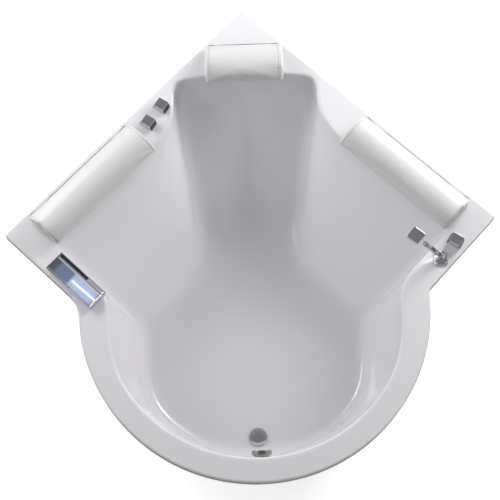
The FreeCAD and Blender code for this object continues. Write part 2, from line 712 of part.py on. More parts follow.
def filler():
    """A hollow housing whose cover plate lies beside the open channel that the water spills from."""
    a0, a1 = SPOUT_ALONG
    i0, i1 = SPOUT_INWARD
    wall, top = SPOUT_WALL, SPOUT_HEIGHT
    channel_end = a0 + wall + SPOUT_CHANNEL
    chamber_start = channel_end + SPOUT_RIB
    gap = 0.5

    def crosswise(margin):
        return i0 + margin, i1 - margin

    channel_margin, weep_margin, baffle_margin = 8.0, 12.0, 10.0
    channel_floor, mouth, weep, baffle_top = 6.0, (12.0, 17.0), (8.0, 14.0), 18.0
    housing = spout_box((a0, a1), (i0, i1), 0.0, top)
    hollows = [
        spout_box((chamber_start, a1 - wall), crosswise(wall), wall, top),
        spout_box((a0 + wall, channel_end), crosswise(channel_margin), channel_floor, top),
        spout_box((a0 - 1.0, a0 + wall + 1.0), crosswise(channel_margin), *mouth),
        spout_box((channel_end - 1.0, chamber_start + 1.0), crosswise(weep_margin), *weep),
        disc(spout_inlet(-2 * wall), FEED_BORE, 5 * wall),
    ]
    for hollow in hollows:
        housing = housing.cut(hollow)
    plate_space = (chamber_start + gap, a1 - wall - gap)
    plate = spout_box(plate_space, crosswise(wall + gap), top - SPOUT_PLATE, top)
    baffle_start = chamber_start + 14.0
    baffle_space = (baffle_start, baffle_start + 2.0)
    baffle = spout_box(baffle_space, crosswise(baffle_margin), wall, baffle_top)
    tail = disc(spout_inlet(-TAIL_DEPTH), TAIL_RADIUS, TAIL_DEPTH, FEED_BORE)
    return {"filler_housing": housing, "filler_cover_plate": plate, "filler_baffle": baffle,
            "filler_inlet_tail": tail}


# ---- hand shower --------------------------------------------------------------------------------------
def shower_holder():
    """A plate on the deck with a leaning socket for the bar's spigot."""
    foot, _, lean = bar_axis()
    corner, edge, sunk, socket_below, spigot_below = 4.0, 1.5, 2.0, 28.0, 10.0
    far, bore, passage_bore = 200.0, 60.0, 6.0
    plate = rounded_block(HOLDER_PLATE[0], HOLDER_PLATE[1], HOLDER_PLATE[2], corner, edge)
    plate.translate(at(HOLDER[0], HOLDER[1]))
    above = Part.makeBox(far, far, far, at(HOLDER[0] - far / 2.0, HOLDER[1] + far / 2.0, sunk))
    socket = disc(foot - lean * socket_below, SOCKET_RADIUS, 50.0, axis=lean).common(above)
    holder = plate.fuse(socket)
    holder = holder.cut(disc(foot - lean * spigot_below, SPIGOT_CLEAR, bore, axis=lean))
    passage = disc(foot - lean * 40.0, passage_bore, 40.0, axis=lean)
    return holder.cut(passage).removeSplitter()


def shower_hose_guide():
    return disc(at(HOLDER[0], HOLDER[1], -TAIL_DEPTH), TAIL_RADIUS, TAIL_DEPTH, HOSE_BORE)


def tail_nuts():
    under = -SHELL - NUT_HEIGHT
    places = [spout_inlet(under), at(HOLDER[0], HOLDER[1], under)]
    return Part.makeCompound([hex_nut(place, TAIL_NUT, NUT_HEIGHT, TAIL_RADIUS) for place in places])


def head_frame():
    """The knuckle, the heading of the head in plan from there, and the level direction across it."""
    knuckle = at(*BAR_TOP)
    heading = at(*HEAD_CENTRE) - knuckle
    heading.z = 0
    heading.normalize()
    return knuckle, heading, Vector(-heading.y, heading.x, 0)


def hand_shower():
    """The bar with its spigot below and the fork of its knuckle above, and the knuckle's pin."""
    foot, top, lean = bar_axis()
    knuckle, _, across = head_frame()
    spigot_below, spigot_length, water_bore = 9.0, 40.0, 4.0
    grip_start, grip_end, grip_edge = 24.0, 12.0, 3.0
    neck_length, fork_width, pin_length, clear = 17.0, 6.0, 16.0, 0.05
    spigot_foot = foot - lean * spigot_below
    spigot = disc(spigot_foot, SPIGOT_RADIUS, spigot_length, axis=lean)
    spigot = spigot.cut(disc(spigot_foot, water_bore, spigot_length / 2.0, axis=lean))
    grip = bar(foot + lean * grip_start, top - lean * grip_end, HANDLE_BAR[0], HANDLE_BAR[1])
    edges = [e for e in grip.Edges if abs(e.tangentAt(e.FirstParameter).dot(lean)) > 0.9]
    grip = grip.makeFillet(grip_edge, edges)
    upright = (lean - across * lean.dot(across)).normalize()
    neck = disc(knuckle - upright * neck_length, SHOWER_NECK, neck_length, axis=upright)
    fork = disc(knuckle - across * fork_width / 2.0, KNUCKLE_RADIUS, fork_width, axis=across)
    handle = spigot.fuse(grip).fuse(neck).fuse(fork)
    pin_start = knuckle - across * pin_length / 2.0
    handle = handle.cut(disc(pin_start, KNUCKLE_PIN + clear, pin_length, axis=across)).removeSplitter()
    pin = disc(pin_start, KNUCKLE_PIN, pin_length, axis=across)
    return {"shower_handle": handle, "shower_knuckle_pin": pin}


def spray_plate(length, width):
    """A plate with seven rows of seven nozzles."""
    thickness, corner, rows = 3.0, 4.8, 3
    plate = rounded_block(length, width, thickness, corner)
    holes = []
    for row in range(-rows, rows + 1):
        for column in range(-rows, rows + 1):
            place = Vector(row * NOZZLE_PITCH, column * NOZZLE_PITCH, -1.0)
            holes.append(disc(place, NOZZLE_RADIUS, thickness + 2.0))
    return plate.cut(Part.makeCompound(holes))


def shower_head():
    """The square head, hollow from below, on two ears that the knuckle's pin goes through."""
    knuckle, heading, across = head_frame()
    centre = at(*HEAD_CENTRE)
    length, width, height = HEAD_SIZE
    turn = math.degrees(math.atan2(heading.y, heading.x))
    corner, edge, skin, roof, plate_gap, sunk = 7.0, 3.0, 2.5, 4.0, 0.2, 0.5
    ear_gap, ear_width, link_height, link_start_run = 3.3, 4.0, 8.0, 2.0
    base = centre - UP * height / 2.0
    shell = turned(rounded_block(length, width, height, corner, edge), turn, base)
    hollow = turned(rounded_block(length - 2 * skin, width - 2 * skin, height - roof, corner - 2.0), turn, base)
    reach_back = (centre - knuckle).Length - length / 2.0
    for way in (-1.0, 1.0):
        outward = across * way
        ear = disc(knuckle + outward * ear_gap, KNUCKLE_RADIUS, ear_width, axis=outward)
        link_start = knuckle + outward * (ear_gap + ear_width / 2.0)
        link_end = Vector(link_start.x, link_start.y, centre.z) + heading * reach_back
        link_start = link_start + (heading + UP) * link_start_run
        shell = shell.fuse(ear).fuse(bar(link_start, link_end, ear_width, link_height))
    pin_half = 15.0
    pin_hole = disc(knuckle - across * pin_half, KNUCKLE_PIN, 2 * pin_half, axis=across)
    shell = shell.cut(hollow).cut(pin_hole).removeSplitter()
    inset = 2 * (skin + plate_gap)
    plate = turned(spray_plate(length - inset, width - inset), turn, base + UP * sunk)
    return {"shower_head_shell": shell, "shower_spray_plate": plate}


# ---- waste, plug and overflow -------------------------------------------------------------------------
def waste_flange():
    """The chrome flange with its threaded tail and the cross that guides the plug's stem."""
    deck = waste_point(FLOOR_TOP)
    thickness, tail, bore, hub_radius, rib, rib_height, rib_drop = 2.5, 30.0, 21.0, 8.0, 5.0, 8.0, 24.0
    below, through, stem_clear = 40.0, 60.0, 0.05
    flange = disc(deck, WASTE_FLANGE, thickness).fuse(disc(deck - UP * tail, WASTE_TAIL, tail))
    flange = flange.cut(disc(deck - UP * below, bore, through))
    low = deck - UP * rib_drop
    cross = disc(low, hub_radius, rib_height)
    for length, width in ((2 * WASTE_TAIL, rib), (rib, 2 * WASTE_TAIL)):
        corner = low - Vector(length / 2.0, width / 2.0, 0)
        cross = cross.fuse(Part.makeBox(length, width, rib_height, corner))
    cross = cross.common(disc(deck - UP * below, bore + 1.0, through))
    stem_space = disc(deck - UP * below, PLUG_STEM_RADIUS + stem_clear, through)
    return flange.fuse(cross).cut(stem_space).removeSplitter()


def waste_body():
    """The body screwed up under the floor, with its side port and the boss where the cable ends."""
    top = waste_point(FLOOR_TOP - SHELL - GASKET)
    collar_radius, collar, bore_depth, drain, boss_start = 38.0, 8.0, 36.0, 12.0, 24.0
    boss_width, boss_height = 20.0, 14.0
    bottom = top - UP * WASTE_BODY_DEPTH
    body = disc(top - UP * collar, collar_radius, collar)
    body = body.fuse(disc(bottom, WASTE_BODY_RADIUS, WASTE_BODY_DEPTH))
    body = body.cut(disc(top - UP * bore_depth, WASTE_CLEAR, bore_depth))
    body = body.cut(disc(bottom - UP * 2.0, drain, drain))
    body = body.cut(disc(top - UP * WASTE_PORT_DEPTH, PIPE_RADIUS, 40.0, axis=Vector(0, -1, 0)))
    boss_corner = Vector(boss_start, top.y - CABLE_STOP, CABLE_LEVEL - boss_height / 2.0)
    boss = Part.makeBox(CABLE_SIDE + 8.0 - boss_start, boss_width, boss_height, boss_corner)
    return body.fuse(boss.cut(disc(bottom, WASTE_BODY_RADIUS - 1.0, WASTE_BODY_DEPTH))).removeSplitter()


def waste():
    gasket_base = waste_point(FLOOR_TOP - SHELL - GASKET)
    gasket = disc(gasket_base, WASTE_FLANGE - 1.0, GASKET, WASTE_CLEAR)
    return {"waste_flange": waste_flange(), "waste_gasket": gasket, "waste_body": waste_body()}


def plug():
    deck = waste_point(FLOOR_TOP)
    dome_base, stem_top, stem_length, seal_radius, seal_base, seal = 5.0, 8.0, 40.0, 24.0, 2.8, 2.0
    dome = Part.makeSphere(PLUG_CROWN_RADIUS, deck + UP * (PLUG_CROWN - PLUG_CROWN_RADIUS))
    dome = dome.common(disc(deck + UP * dome_base, PLUG_RADIUS, PLUG_CROWN))
    stem = disc(deck + UP * (stem_top - stem_length), PLUG_STEM_RADIUS, stem_length)
    ring = disc(deck + UP * seal_base, seal_radius, seal, PLUG_STEM_RADIUS)
    return {"plug_cover": dome.cut(stem), "plug_seal": ring, "plug_stem": stem}


def trap():
    """The low cup under the waste, and its outlet pipe, turned aside from the middle foot."""
    top = waste_point(FLOOR_TOP - SHELL - GASKET - WASTE_BODY_DEPTH)
    turn = math.radians(OUTLET_TURN)
    away = Vector(math.sin(turn), math.cos(turn), 0)
    inlet, pipe_start = 12.0, 38.0
    hollow = disc(top - UP * (TRAP_HEIGHT - TRAP_WALL), TRAP_RADIUS - TRAP_WALL, TRAP_HEIGHT - 2 * TRAP_WALL)
    cup = disc(top - UP * TRAP_HEIGHT, TRAP_RADIUS, TRAP_HEIGHT).cut(hollow)
    cup = cup.cut(disc(top - UP * 2 * TRAP_WALL, inlet, 3 * TRAP_WALL))
    axis_start = top - UP * OUTLET_DROP
    cup = cup.cut(disc(axis_start, OUTLET_RADIUS, TRAP_RADIUS + TRAP_WALL, axis=away))
    start = axis_start + away * pipe_start
    outlet = disc(start, OUTLET_RADIUS, OUTLET_LENGTH, OUTLET_RADIUS - OUTLET_WALL, axis=away)
    stop_radius, stop_width, free = OUTLET_STOP
    stop_start = start + away * (OUTLET_LENGTH - free - stop_width)
    outlet = outlet.fuse(disc(stop_start, stop_radius, stop_width, OUTLET_RADIUS - OUTLET_WALL, axis=away))
    return {"trap_cup": cup, "trap_outlet_pipe": outlet}


def overflow_body(middle, inwards):
    """The rosette on the wall, its threaded tail through the wall and the guide of the knob's spindle."""
    rosette_radius, rosette, rosette_start, tail_length, tail_bore = 30.0, 5.0, 2.0, 40.0, 22.0
    guide_radius, guide_length, guide_depth, rib_depth, rib = 12.0, 8.0, 12.0, 8.0, 6.0
    far, through = 40.0, 80.0
    tail_start = middle - inwards * (tail_length - 6.0)
    tail = disc(tail_start, WASTE_TAIL, tail_length, axis=inwards)
    tail = tail.cut(disc(middle - inwards * far, tail_bore, through, axis=inwards))
    sideways = Vector(tail_bore + 2.0, 0, 0)
    rib_middle = middle - inwards * rib_depth
    guide = disc(middle - inwards * guide_depth, guide_radius, guide_length, axis=inwards)
    guide = guide.fuse(bar(rib_middle - sideways, rib_middle + sideways, rib, rib))
    guide = guide.common(disc(middle - inwards * far, tail_bore + 0.5, through, axis=inwards))
    plate = disc(middle + inwards * rosette_start, rosette_radius, rosette, axis=inwards)
    spindle_space = disc(middle - inwards * far, OVERFLOW_SPINDLE_CLEAR, through, axis=inwards)
    return tail.fuse(guide).fuse(plate).cut(spindle_space).removeSplitter()


def overflow():
    middle, inwards = overflow_frame()
    knob_start, knob_height, knob_edge, grip, spindle_back, spindle_length = 7.5, 18.0, 3.0, 10.5, 22.0, 40.0
    seal_radius, seal, seal_gap = 32.0, 3.0, 0.2
    knob = disc(middle + inwards * knob_start, OVERFLOW_KNOB_RADIUS, knob_height, axis=inwards)
    knob = knob.makeFillet(knob_edge, [e for e in knob.Edges if e.Curve.TypeId == "Part::GeomCircle"])
    knob = knob.cut(disc(middle + inwards * knob_start, OVERFLOW_SPINDLE, grip, axis=inwards))
    spindle = disc(middle - inwards * spindle_back, OVERFLOW_SPINDLE, spindle_length, axis=inwards)
    ring = disc(middle - inwards * (SHELL + seal_gap + seal), seal_radius, seal, WASTE_CLEAR, axis=inwards)
    return {"overflow_body": overflow_body(middle, inwards), "overflow_knob": knob,
            "overflow_spindle": spindle, "overflow_seal": ring}


def overflow_down():
    """The direction down the outside of the front wall."""
    _, inwards = overflow_frame()
    return Vector(0, inwards.z, -inwards.y)


def overflow_elbow():
    """The sleeve screwed on the overflow's tail, with the port that turns down into the pipe."""
    middle, inwards = overflow_frame()
    outwards = Vector(0, 0, 0) - inwards
    down = overflow_down()
    radius, length, thread, hollow, bore = 33.0, 38.0, 26.0, 35.0, 22.0
    boss_start, boss_behind, boss_rise, boss_size = 28.0, 34.0, 8.0, (14.0, 16.0)
    start = middle + outwards * ELBOW_START
    elbow = disc(start, radius, length, axis=outwards).cut(disc(start, WASTE_CLEAR, thread, axis=outwards))
    elbow = elbow.cut(disc(start, bore, hollow, axis=outwards))
    boss_end = CABLE_SIDE + 6.0
    boss_middle = middle + outwards * boss_behind - down * boss_rise
    boss = bar(boss_middle + Vector(boss_start, 0, 0), boss_middle + Vector(boss_end, 0, 0), *boss_size)
    boss = boss.cut(disc(middle, radius, 2 * radius, axis=outwards))
    port = disc(middle + outwards * PIPE_AXIS, PIPE_RADIUS, length + 2.0, axis=down)
    return elbow.fuse(boss).cut(port).removeSplitter()


def overflow_pipe():
    middle, inwards = overflow_frame()
    down = overflow_down()
    port_depth, stop, bend, wall = 27.0, 28.0, 34.0, 1.5
    start = middle - inwards * PIPE_AXIS + down * port_depth
    end = waste_point(FLOOR_TOP - SHELL - GASKET - WASTE_PORT_DEPTH) + Vector(0, -stop, 0)
    corner = start + down * ((start.z - end.z) / -down.z)
    return pipe([start, corner, end], bend, PIPE_RADIUS, wall)


def pull_cable():
    """The sheathed cable that lifts the plug when the overflow knob is turned."""
    middle, inwards = overflow_frame()
    down = overflow_down()
    behind, under_boss, bend, radius = 34.0, 0.6, 40.0, 3.0
    start = middle - inwards * behind + down * under_boss + Vector(CABLE_SIDE, 0, 0)
    end = waste_point(CABLE_LEVEL) + Vector(CABLE_SIDE, -CABLE_STOP, 0)
    corner = start + down * ((start.z - end.z) / -down.z)
    return pipe([start, corner, end], bend, radius)


# ---- water pipes --------------------------------------------------------------------------------------
def water_run(start, end, level, leave, arrive):
    """A pipe from start down to level, out to the wall, round the corner and back in to end."""
    bend, wall, corner_gap = 12.0, 1.0, 30.0
    corner_along = PIPE_INWARD + corner_gap
    points = [start, Vector(start.x, start.y, RIM_HEIGHT + level)]
    points += [wall_point(-1, leave, PIPE_INWARD, level), wall_point(-1, corner_along, PIPE_INWARD, level)]
    points += [wall_point(1, corner_along, PIPE_INWARD, level), wall_point(1, arrive, PIPE_INWARD, level)]
    points += [Vector(end.x, end.y, RIM_HEIGHT + level), end]
    return pipe(points, bend, SUPPLY_RADIUS, wall)


def water_pipes():
    """The valves' link, the mixed water's run to the diverter, and its way back to the filler."""
    hot, cold, diverter = (KNOB_PLACES[name] for name in ("hot", "cold", "diverter"))
    link_drop, link_radius, port_shift = -58.0, 7.0, 12.0
    link = rod(at(hot[0], hot[1], link_drop), at(cold[0], cold[1], link_drop), link_radius)
    for x, reach in (hot, cold):
        link = link.cut(disc(at(x, reach, -VALVE_DEPTH), VALVE_RADIUS, VALVE_DEPTH - NECK_DEPTH))
    supply_end = at(diverter[0], diverter[1], -VALVE_DEPTH)
    supply = water_run(at(cold[0], cold[1], -VALVE_DEPTH), supply_end, -92.0, 640.0, 1290.0)
    side_port = at(diverter[0] + port_shift, diverter[1] - port_shift, -VALVE_DEPTH)
    feed = water_run(spout_inlet(-TAIL_DEPTH), side_port, -118.0, 1322.0, 1316.0)
    return Part.makeCompound([link, supply, feed])


# ---- pillows ------------------------------------------------------------------------------------------
def pillow_section():
    """The roll's section: distance from the basin's edge, height over the deck."""
    back, front, high = -PILLOW_BACK, PILLOW_FRONT, PILLOW_HEIGHT
    base = 1.0
    front_rise, back_rise, crown = 34.0, 30.0, -48.0

    def round_up(flat, tip):
        """The arc that leaves the base at flat without a corner and passes through tip."""
        run, climb = tip[0] - flat, tip[1] - base
        radius = (run * run + climb * climb) / (2.0 * climb)
        end = math.atan2(climb - radius, run)
        start = -math.pi / 2.0
        if run < 0:
            end = end - 2.0 * math.pi if end > 0 else end
        half = (start + end) / 2.0
        return (flat + radius * math.cos(half), base + radius + radius * math.sin(half))

    front_flat, back_flat = front - 42.0, back + 14.0
    front_tip, back_tip = (front, front_rise), (back, back_rise)
    return [
        ("line", (back_flat, base), (front_flat, base)),
        ("arc", (front_flat, base), round_up(front_flat, front_tip), front_tip),
        ("arc", front_tip, (crown, high), back_tip),
        ("arc", back_tip, round_up(back_flat, back_tip), (back_flat, base)),
    ]


def pillow(origin, outward, heading, length):
    """A roll of the pillow's section, laid from origin along heading; outward points over the basin."""
    end_round = 9.0

    def spot(pair):
        return origin + outward * pair[0] + UP * pair[1]

    edges = []
    for item in pillow_section():
        if item[0] == "line":
            edges.append(Part.LineSegment(spot(item[1]), spot(item[2])).toShape())
        else:
            edges.append(Part.Arc(spot(item[1]), spot(item[2]), spot(item[3])).toShape())
    roll = Part.Face(Part.Wire(edges)).extrude(heading * length)
    ends = [e for e in roll.Edges if abs(e.tangentAt(e.FirstParameter).dot(heading)) < 0.5]
    return roll.makeFillet(end_round, ends)


def pillows():
    rolls = {}
    length = WING_PILLOW[1] - WING_PILLOW[0]
    for side, name in ((-1, "pillow_left"), (1, "pillow_right")):
        origin = wall_point(side, WING_PILLOW[0], WING_EDGE)
        outward = wall_point(side, 0.0, 1.0) - wall_point(side, 0.0, 0.0)
        heading = wall_point(side, 1.0, 0.0) - wall_point(side, 0.0, 0.0)
        rolls[name] = pillow(origin, outward, heading, length)
    back_start = at(-BACK_PILLOW_HALF, TROUGH_EDGE)
    rolls["pillow_back"] = pillow(back_start, Vector(0, -1, 0), Vector(1, 0, 0), 2 * BACK_PILLOW_HALF)
    studs = pillow_studs()
    return {name: roll.cut(studs) for name, roll in rolls.items()}


def pillow_studs():
    half, head_radius, head = 22.0, 11.0, 3.0
    studs = []
    for place in pillow_stud_places():
        stud = disc(place - UP * half, STUD_RADIUS, 2 * half)
        studs.append(stud.fuse(disc(place + UP * half, head_radius, head)))
    return Part.makeCompound(studs)


def pillow_push_nuts():
    radius, height, clear = 9.0, 4.0, 0.05
    under = UP * (SHELL + height)
    nuts = [disc(place - under, radius, height, STUD_RADIUS + clear) for place in pillow_stud_places()]
    return Part.makeCompound(nuts)


def build():
    nodes = {"tub_shell": tub_shell(), "base_board": base_board()}
    nodes.update(frame_tubes())
    nodes["frame_uprights"] = frame_uprights()
    nodes["rim_struts"] = rim_struts()
    nodes.update(feet())
    nodes["foot_nuts"] = foot_nuts()
    nodes["wall_brackets"] = wall_brackets()
    nodes.update(apron_panels())
    nodes["apron_clips"] = apron_clips()
    nodes.update(valves())
    nodes.update(filler())
    nodes["shower_holder"] = shower_holder()
    nodes["shower_hose_guide"] = shower_hose_guide()
    nodes["tail_nuts"] = tail_nuts()
    nodes.update(hand_shower())
    nodes.update(shower_head())
    nodes.update(waste())
    nodes.update(plug())
    nodes.update(trap())
    nodes.update(overflow())
    nodes["overflow_elbow"] = overflow_elbow()
    nodes["overflow_pipe"] = overflow_pipe()
    nodes["pull_cable"] = pull_cable()
    nodes["water_pipes"] = water_pipes()
    nodes.update(pillows())
    nodes["pillow_studs"] = pillow_studs()
    nodes["pillow_push_nuts"] = pillow_push_nuts()
    return nodes


def main():
    os.makedirs("parts", exist_ok=True)
    nodes = build()
    for name, shape in nodes.items():
        box = shape.BoundBox
        print("%-24s solids %2d valid %s volume %10.0f z %.1f..%.1f" % (
            name, len(shape.Solids), shape.isValid(), shape.Volume, box.ZMin, box.ZMax))
        shape.exportStep("parts/" + name + ".step")
    print(len(nodes), "nodes")


main()
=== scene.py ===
"""A corner bathtub: its finishes, its soft parts and the studio round it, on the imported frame."""
import json
import logging
import math
from contextlib import contextmanager
from dataclasses import dataclass
from enum import Enum
from typing import ClassVar, Iterable, Iterator, Sequence

import bmesh
import bpy
import numpy as np
from mathutils import Matrix, Vector


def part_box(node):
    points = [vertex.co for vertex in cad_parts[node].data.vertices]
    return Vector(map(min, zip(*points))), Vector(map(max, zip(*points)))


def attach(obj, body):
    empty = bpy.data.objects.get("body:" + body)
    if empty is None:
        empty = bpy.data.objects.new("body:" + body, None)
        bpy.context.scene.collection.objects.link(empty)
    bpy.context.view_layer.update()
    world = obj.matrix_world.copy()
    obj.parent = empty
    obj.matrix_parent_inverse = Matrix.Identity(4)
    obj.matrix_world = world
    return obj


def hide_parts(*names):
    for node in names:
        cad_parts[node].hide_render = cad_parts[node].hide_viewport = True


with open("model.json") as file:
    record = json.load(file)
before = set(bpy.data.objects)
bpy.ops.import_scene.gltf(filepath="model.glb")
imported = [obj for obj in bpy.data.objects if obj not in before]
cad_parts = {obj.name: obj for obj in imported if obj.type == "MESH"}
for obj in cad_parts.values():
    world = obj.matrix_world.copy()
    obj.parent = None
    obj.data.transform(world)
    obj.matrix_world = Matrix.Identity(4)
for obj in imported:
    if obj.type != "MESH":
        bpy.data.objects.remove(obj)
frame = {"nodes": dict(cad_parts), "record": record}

LOG = logging.getLogger("bathtub")
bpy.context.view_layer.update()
ROOT2 = math.sqrt(2.0)
AIM = (0.0, 0.0, 0.4)
SHARP_ANGLE = math.radians(35.0)
WELD = 1e-5
Pair = tuple[float, float]
Colour = tuple[float, float, float]
Point = tuple[float, float, float]
Points = np.ndarray
Mesh = bpy.types.Mesh
Object = bpy.types.Object
Node = bpy.types.Node
Socket = bpy.types.NodeSocket


# ---- shader expressions -------------------------------------------------------------------------------
class Signal:
    """A shader socket that can stand in an expression on values."""

    def __init__(self, graph: "Graph", socket: Socket) -> None:
        """Wraps one output socket of the graph."""
        self.graph = graph
        self.socket = socket

    def __add__(self, other: "Signal | float") -> "Signal":
        """Sum."""
        return self.graph.maths("ADD", self, other)

    __radd__ = __add__

    def __sub__(self, other: "Signal | float") -> "Signal":
        """Difference."""
        return self.graph.maths("SUBTRACT", self, other)

    def __rsub__(self, other: float) -> "Signal":
        """Difference from a number."""
        return self.graph.maths("SUBTRACT", other, self)

    def __mul__(self, other: "Signal | float") -> "Signal":
        """Product."""
        return self.graph.maths("MULTIPLY", self, other)

    __rmul__ = __mul__

    def __pow__(self, other: float) -> "Signal":
        """Power."""
        return self.graph.maths("POWER", self, other)


class Graph:
    """The node tree of one material or of the world."""

    def __init__(self, tree: bpy.types.NodeTree) -> None:
        """Keeps the tree that nodes are added to."""
        self.tree = tree

    def node(self, kind: str, settings: dict | None = None, inputs: dict | None = None) -> Node:
        """Adds a node.

        Args:
            kind: the node's type name, without its ShaderNode prefix.
            settings: properties, set first; "stops" holds a ramp's (place, colour) pairs.
            inputs: values or signals by the input's name or number.

        Returns:
            The new node.
        """
        made = self.tree.nodes.new("ShaderNode" + kind)
        for key, value in (settings or {}).items():
            if key == "stops":
                elements = made.color_ramp.elements
                while len(elements) < len(value):
                    elements.new(0.5)
                for element, (place, colour) in zip(elements, value):
                    element.position = place
                    element.color = (*colour, 1.0)
            else:
                setattr(made, key, value)
        for key, value in (inputs or {}).items():
            self.feed(made.inputs[key], value)
        return made

    def feed(self, target: Socket, value: object) -> None:
        """Links a signal to a socket, or sets the socket's own value."""
        if isinstance(value, Signal):
            self.tree.links.new(value.socket, target)
        elif target.type == "RGBA":
            target.default_value = (*value, 1.0)
        else:
            target.default_value = value

    def out(self, node: Node, name: str | int = 0) -> Signal:
        """The signal of one output of a node."""
        return Signal(self, node.outputs[name])

    def maths(self, operation: str, *values: Signal | float) -> Signal:
        """Adds a Math node on values."""
        return self.out(self.node("Math", {"operation": operation}, dict(enumerate(values))))

    def mix(self, factor: Signal | float, first: Signal | Colour, second: Signal | Colour) -> Signal:
        """Mixes two colours."""
        made = self.node("Mix", {"data_type": "RGBA"}, {0: factor, 6: first, 7: second})
        return self.out(made, 2)

    def place(self) -> Signal:
        """The Object coordinates, in metres in the row frame."""
        return self.out(self.node("TexCoord"), "Object")

    def noise(self, scale: float, detail: float = 3.0, stretch: Point = (1.0, 1.0, 1.0)) -> Signal:
        """Noise from 0 to 1 on Object coordinates.

        Args:
            scale: features per metre.
            detail: octaves.
            stretch: scale along each axis, for drawn or brushed grain.

        Returns:
            The noise.
        """
        spot = self.node("Mapping", {}, {"Vector": self.place(), "Scale": stretch})
        made = self.node("TexNoise", {}, {"Vector": self.out(spot), "Scale": scale, "Detail": detail})
        return self.out(made, 0)

    def ramp(self, value: Signal, stops: Sequence[tuple[float, Colour]]) -> Signal:
        """Turns a value into a colour."""
        return self.out(self.node("ValToRGB", {"stops": list(stops)}, {0: value}))

    def bump(self, height: Signal, depth: float, strength: float) -> Signal:
        """A normal bent by a height field; depth is in metres."""
        made = self.node("Bump", {}, {"Strength": strength, "Distance": depth, "Height": height})
        return self.out(made)


# ---- finishes -----------------------------------------------------------------------------------------
@dataclass(frozen=True)
class Finish:
    """One finish: a Principled surface whose varying parts a subclass adds."""

    name: str
    colour: Colour
    roughness: float
    sockets: ClassVar[dict[str, float]] = {}
    made: ClassVar[dict[str, bpy.types.Material]] = {}

    def varying(self, graph: Graph) -> dict[str, Signal]:
        """Signals for the sockets that change over the surface."""
        return {}

    def tinted(self, share: float) -> Colour:
        """The colour, made lighter or darker by a share."""
        return tuple(min(1.0, channel * (1.0 + share)) for channel in self.colour)

    def shades(self, graph: Graph, amount: float, scale: float) -> Signal:
        """The colour, made lighter and darker by soft noise."""
        return graph.mix(graph.noise(scale), self.tinted(-amount), self.tinted(amount))

    def material(self) -> bpy.types.Material:
        """Builds the material once, and gives the same one after that."""
        if self.name not in Finish.made:
            material = bpy.data.materials.new(self.name)
            material.use_nodes = True
            material.diffuse_color = (*self.colour, 1.0)
            graph = Graph(material.node_tree)
            shader = material.node_tree.nodes["Principled BSDF"]
            values = {"Base Color": self.colour, "Roughness": self.roughness, **self.sockets}
            for key, value in {**values, **self.varying(graph)}.items():
                graph.feed(shader.inputs[key], value)
            Finish.made[self.name] = material
        return Finish.made[self.name]


class Textured(Finish):
    """A surface whose shades, gloss and relief each follow one noise.

    shade holds the amount and the features per metre; gloss the features per metre, the octaves and the
    spread of roughness; relief the features per metre, the octaves, the depth in metres and the strength.
    """

    shade: ClassVar[Pair]
    gloss: ClassVar[tuple[float, float, float]]
    relief: ClassVar[tuple[float, float, float, float]]

    def height(self, graph: Graph) -> Signal:
        """The height field of the relief."""
        return graph.noise(*self.relief[:2])

    def varying(self, graph: Graph) -> dict[str, Signal]:
        """Shades, uneven gloss and relief."""
        scale, octaves, spread = self.gloss
        return {
            "Base Color": self.shades(graph, *self.shade),
            "Roughness": graph.noise(scale, octaves) * spread + (self.roughness - spread / 2.0),
            "Normal": graph.bump(self.height(graph), *self.relief[2:]),
        }


class GlossAcrylic(Textured):
    """Polished sanitary acrylic: a hard gloss, polishing haze and the faint waviness of a drawn sheet."""

    sockets = {"IOR": 1.49, "Coat Roughness": 0.04, "Coat Weight": 0.25}
    shade = (0.006, 5.0)
    gloss = (22.0, 4.0, 0.07)
    relief = (7.0, 1.0, 0.0010, 0.2)


class PowderCoat(Textured):
    """Stove enamelled steel: slight dust and a fine orange peel."""

    shade = (0.08, 9.0)
    gloss = (12.0, 4.0, 0.2)
    relief = (700.0, 2.0, 0.0003, 0.5)


class Moulded(Textured):
    """Injection moulded plastic or rubber with a fine spark-eroded grain."""

    shade = (0.05, 20.0)
    gloss = (30.0, 3.0, 0.12)
    relief = (1500.0, 2.0, 0.0001, 0.35)


class SoftVinyl(Textured):
    """The pillows' smooth white upholstery skin: fine pores, slight stretch lines and a satin gloss."""

    sockets = {"Sheen Weight": 0.08, "Sheen Roughness": 0.4, "IOR": 1.45}
    shade = (0.012, 7.0)
    gloss = (16.0, 3.0, 0.14)
    relief = (620.0, 0.0, 0.0006, 0.5)

    def height(self, graph: Graph) -> Signal:
        """Pores, and creases that follow the gloss."""
        cells = graph.node("TexVoronoi", {"feature": "DISTANCE_TO_EDGE"},
                           {"Vector": graph.place(), "Scale": self.relief[0]})
        pores = graph.maths("MINIMUM", graph.out(cells) * 4.0, 1.0)
        return pores * 0.25 + graph.noise(*self.gloss[:2]) * 2.0


class GlassFibre(Finish):
    """The sprayed resin and chopped glass that stiffens the sheet from below."""

    def varying(self, graph: Graph) -> dict[str, Signal]:
        """Chopped strands and resin runs."""
        strands = graph.noise(160.0, 4.0, (1.0, 0.35, 1.0)) + graph.noise(140.0, 4.0, (0.35, 1.0, 1.0))
        runs = graph.noise(14.0)
        return {
            "Base Color": graph.mix(strands * 0.5, self.colour, self.tinted(0.12)),
            "Roughness": runs * 0.35 + 0.3,
            "Normal": graph.bump(strands + runs, 0.0012, 0.7),
        }


@dataclass(frozen=True)
class Chrome(Finish):
    """Bright plating over polished brass, with faint water marks."""

    marks: float = 0.05
    sockets: ClassVar[dict[str, float]] = {"Metallic": 1.0}

    def varying(self, graph: Graph) -> dict[str, Signal]:
        """Smears and dried drops."""
        smears = graph.noise(60.0, 5.0)
        return {
            "Base Color": self.shades(graph, 0.03, 30.0),
            "Roughness": (smears ** 3.0) * self.marks * 4.0 + self.roughness,
        }


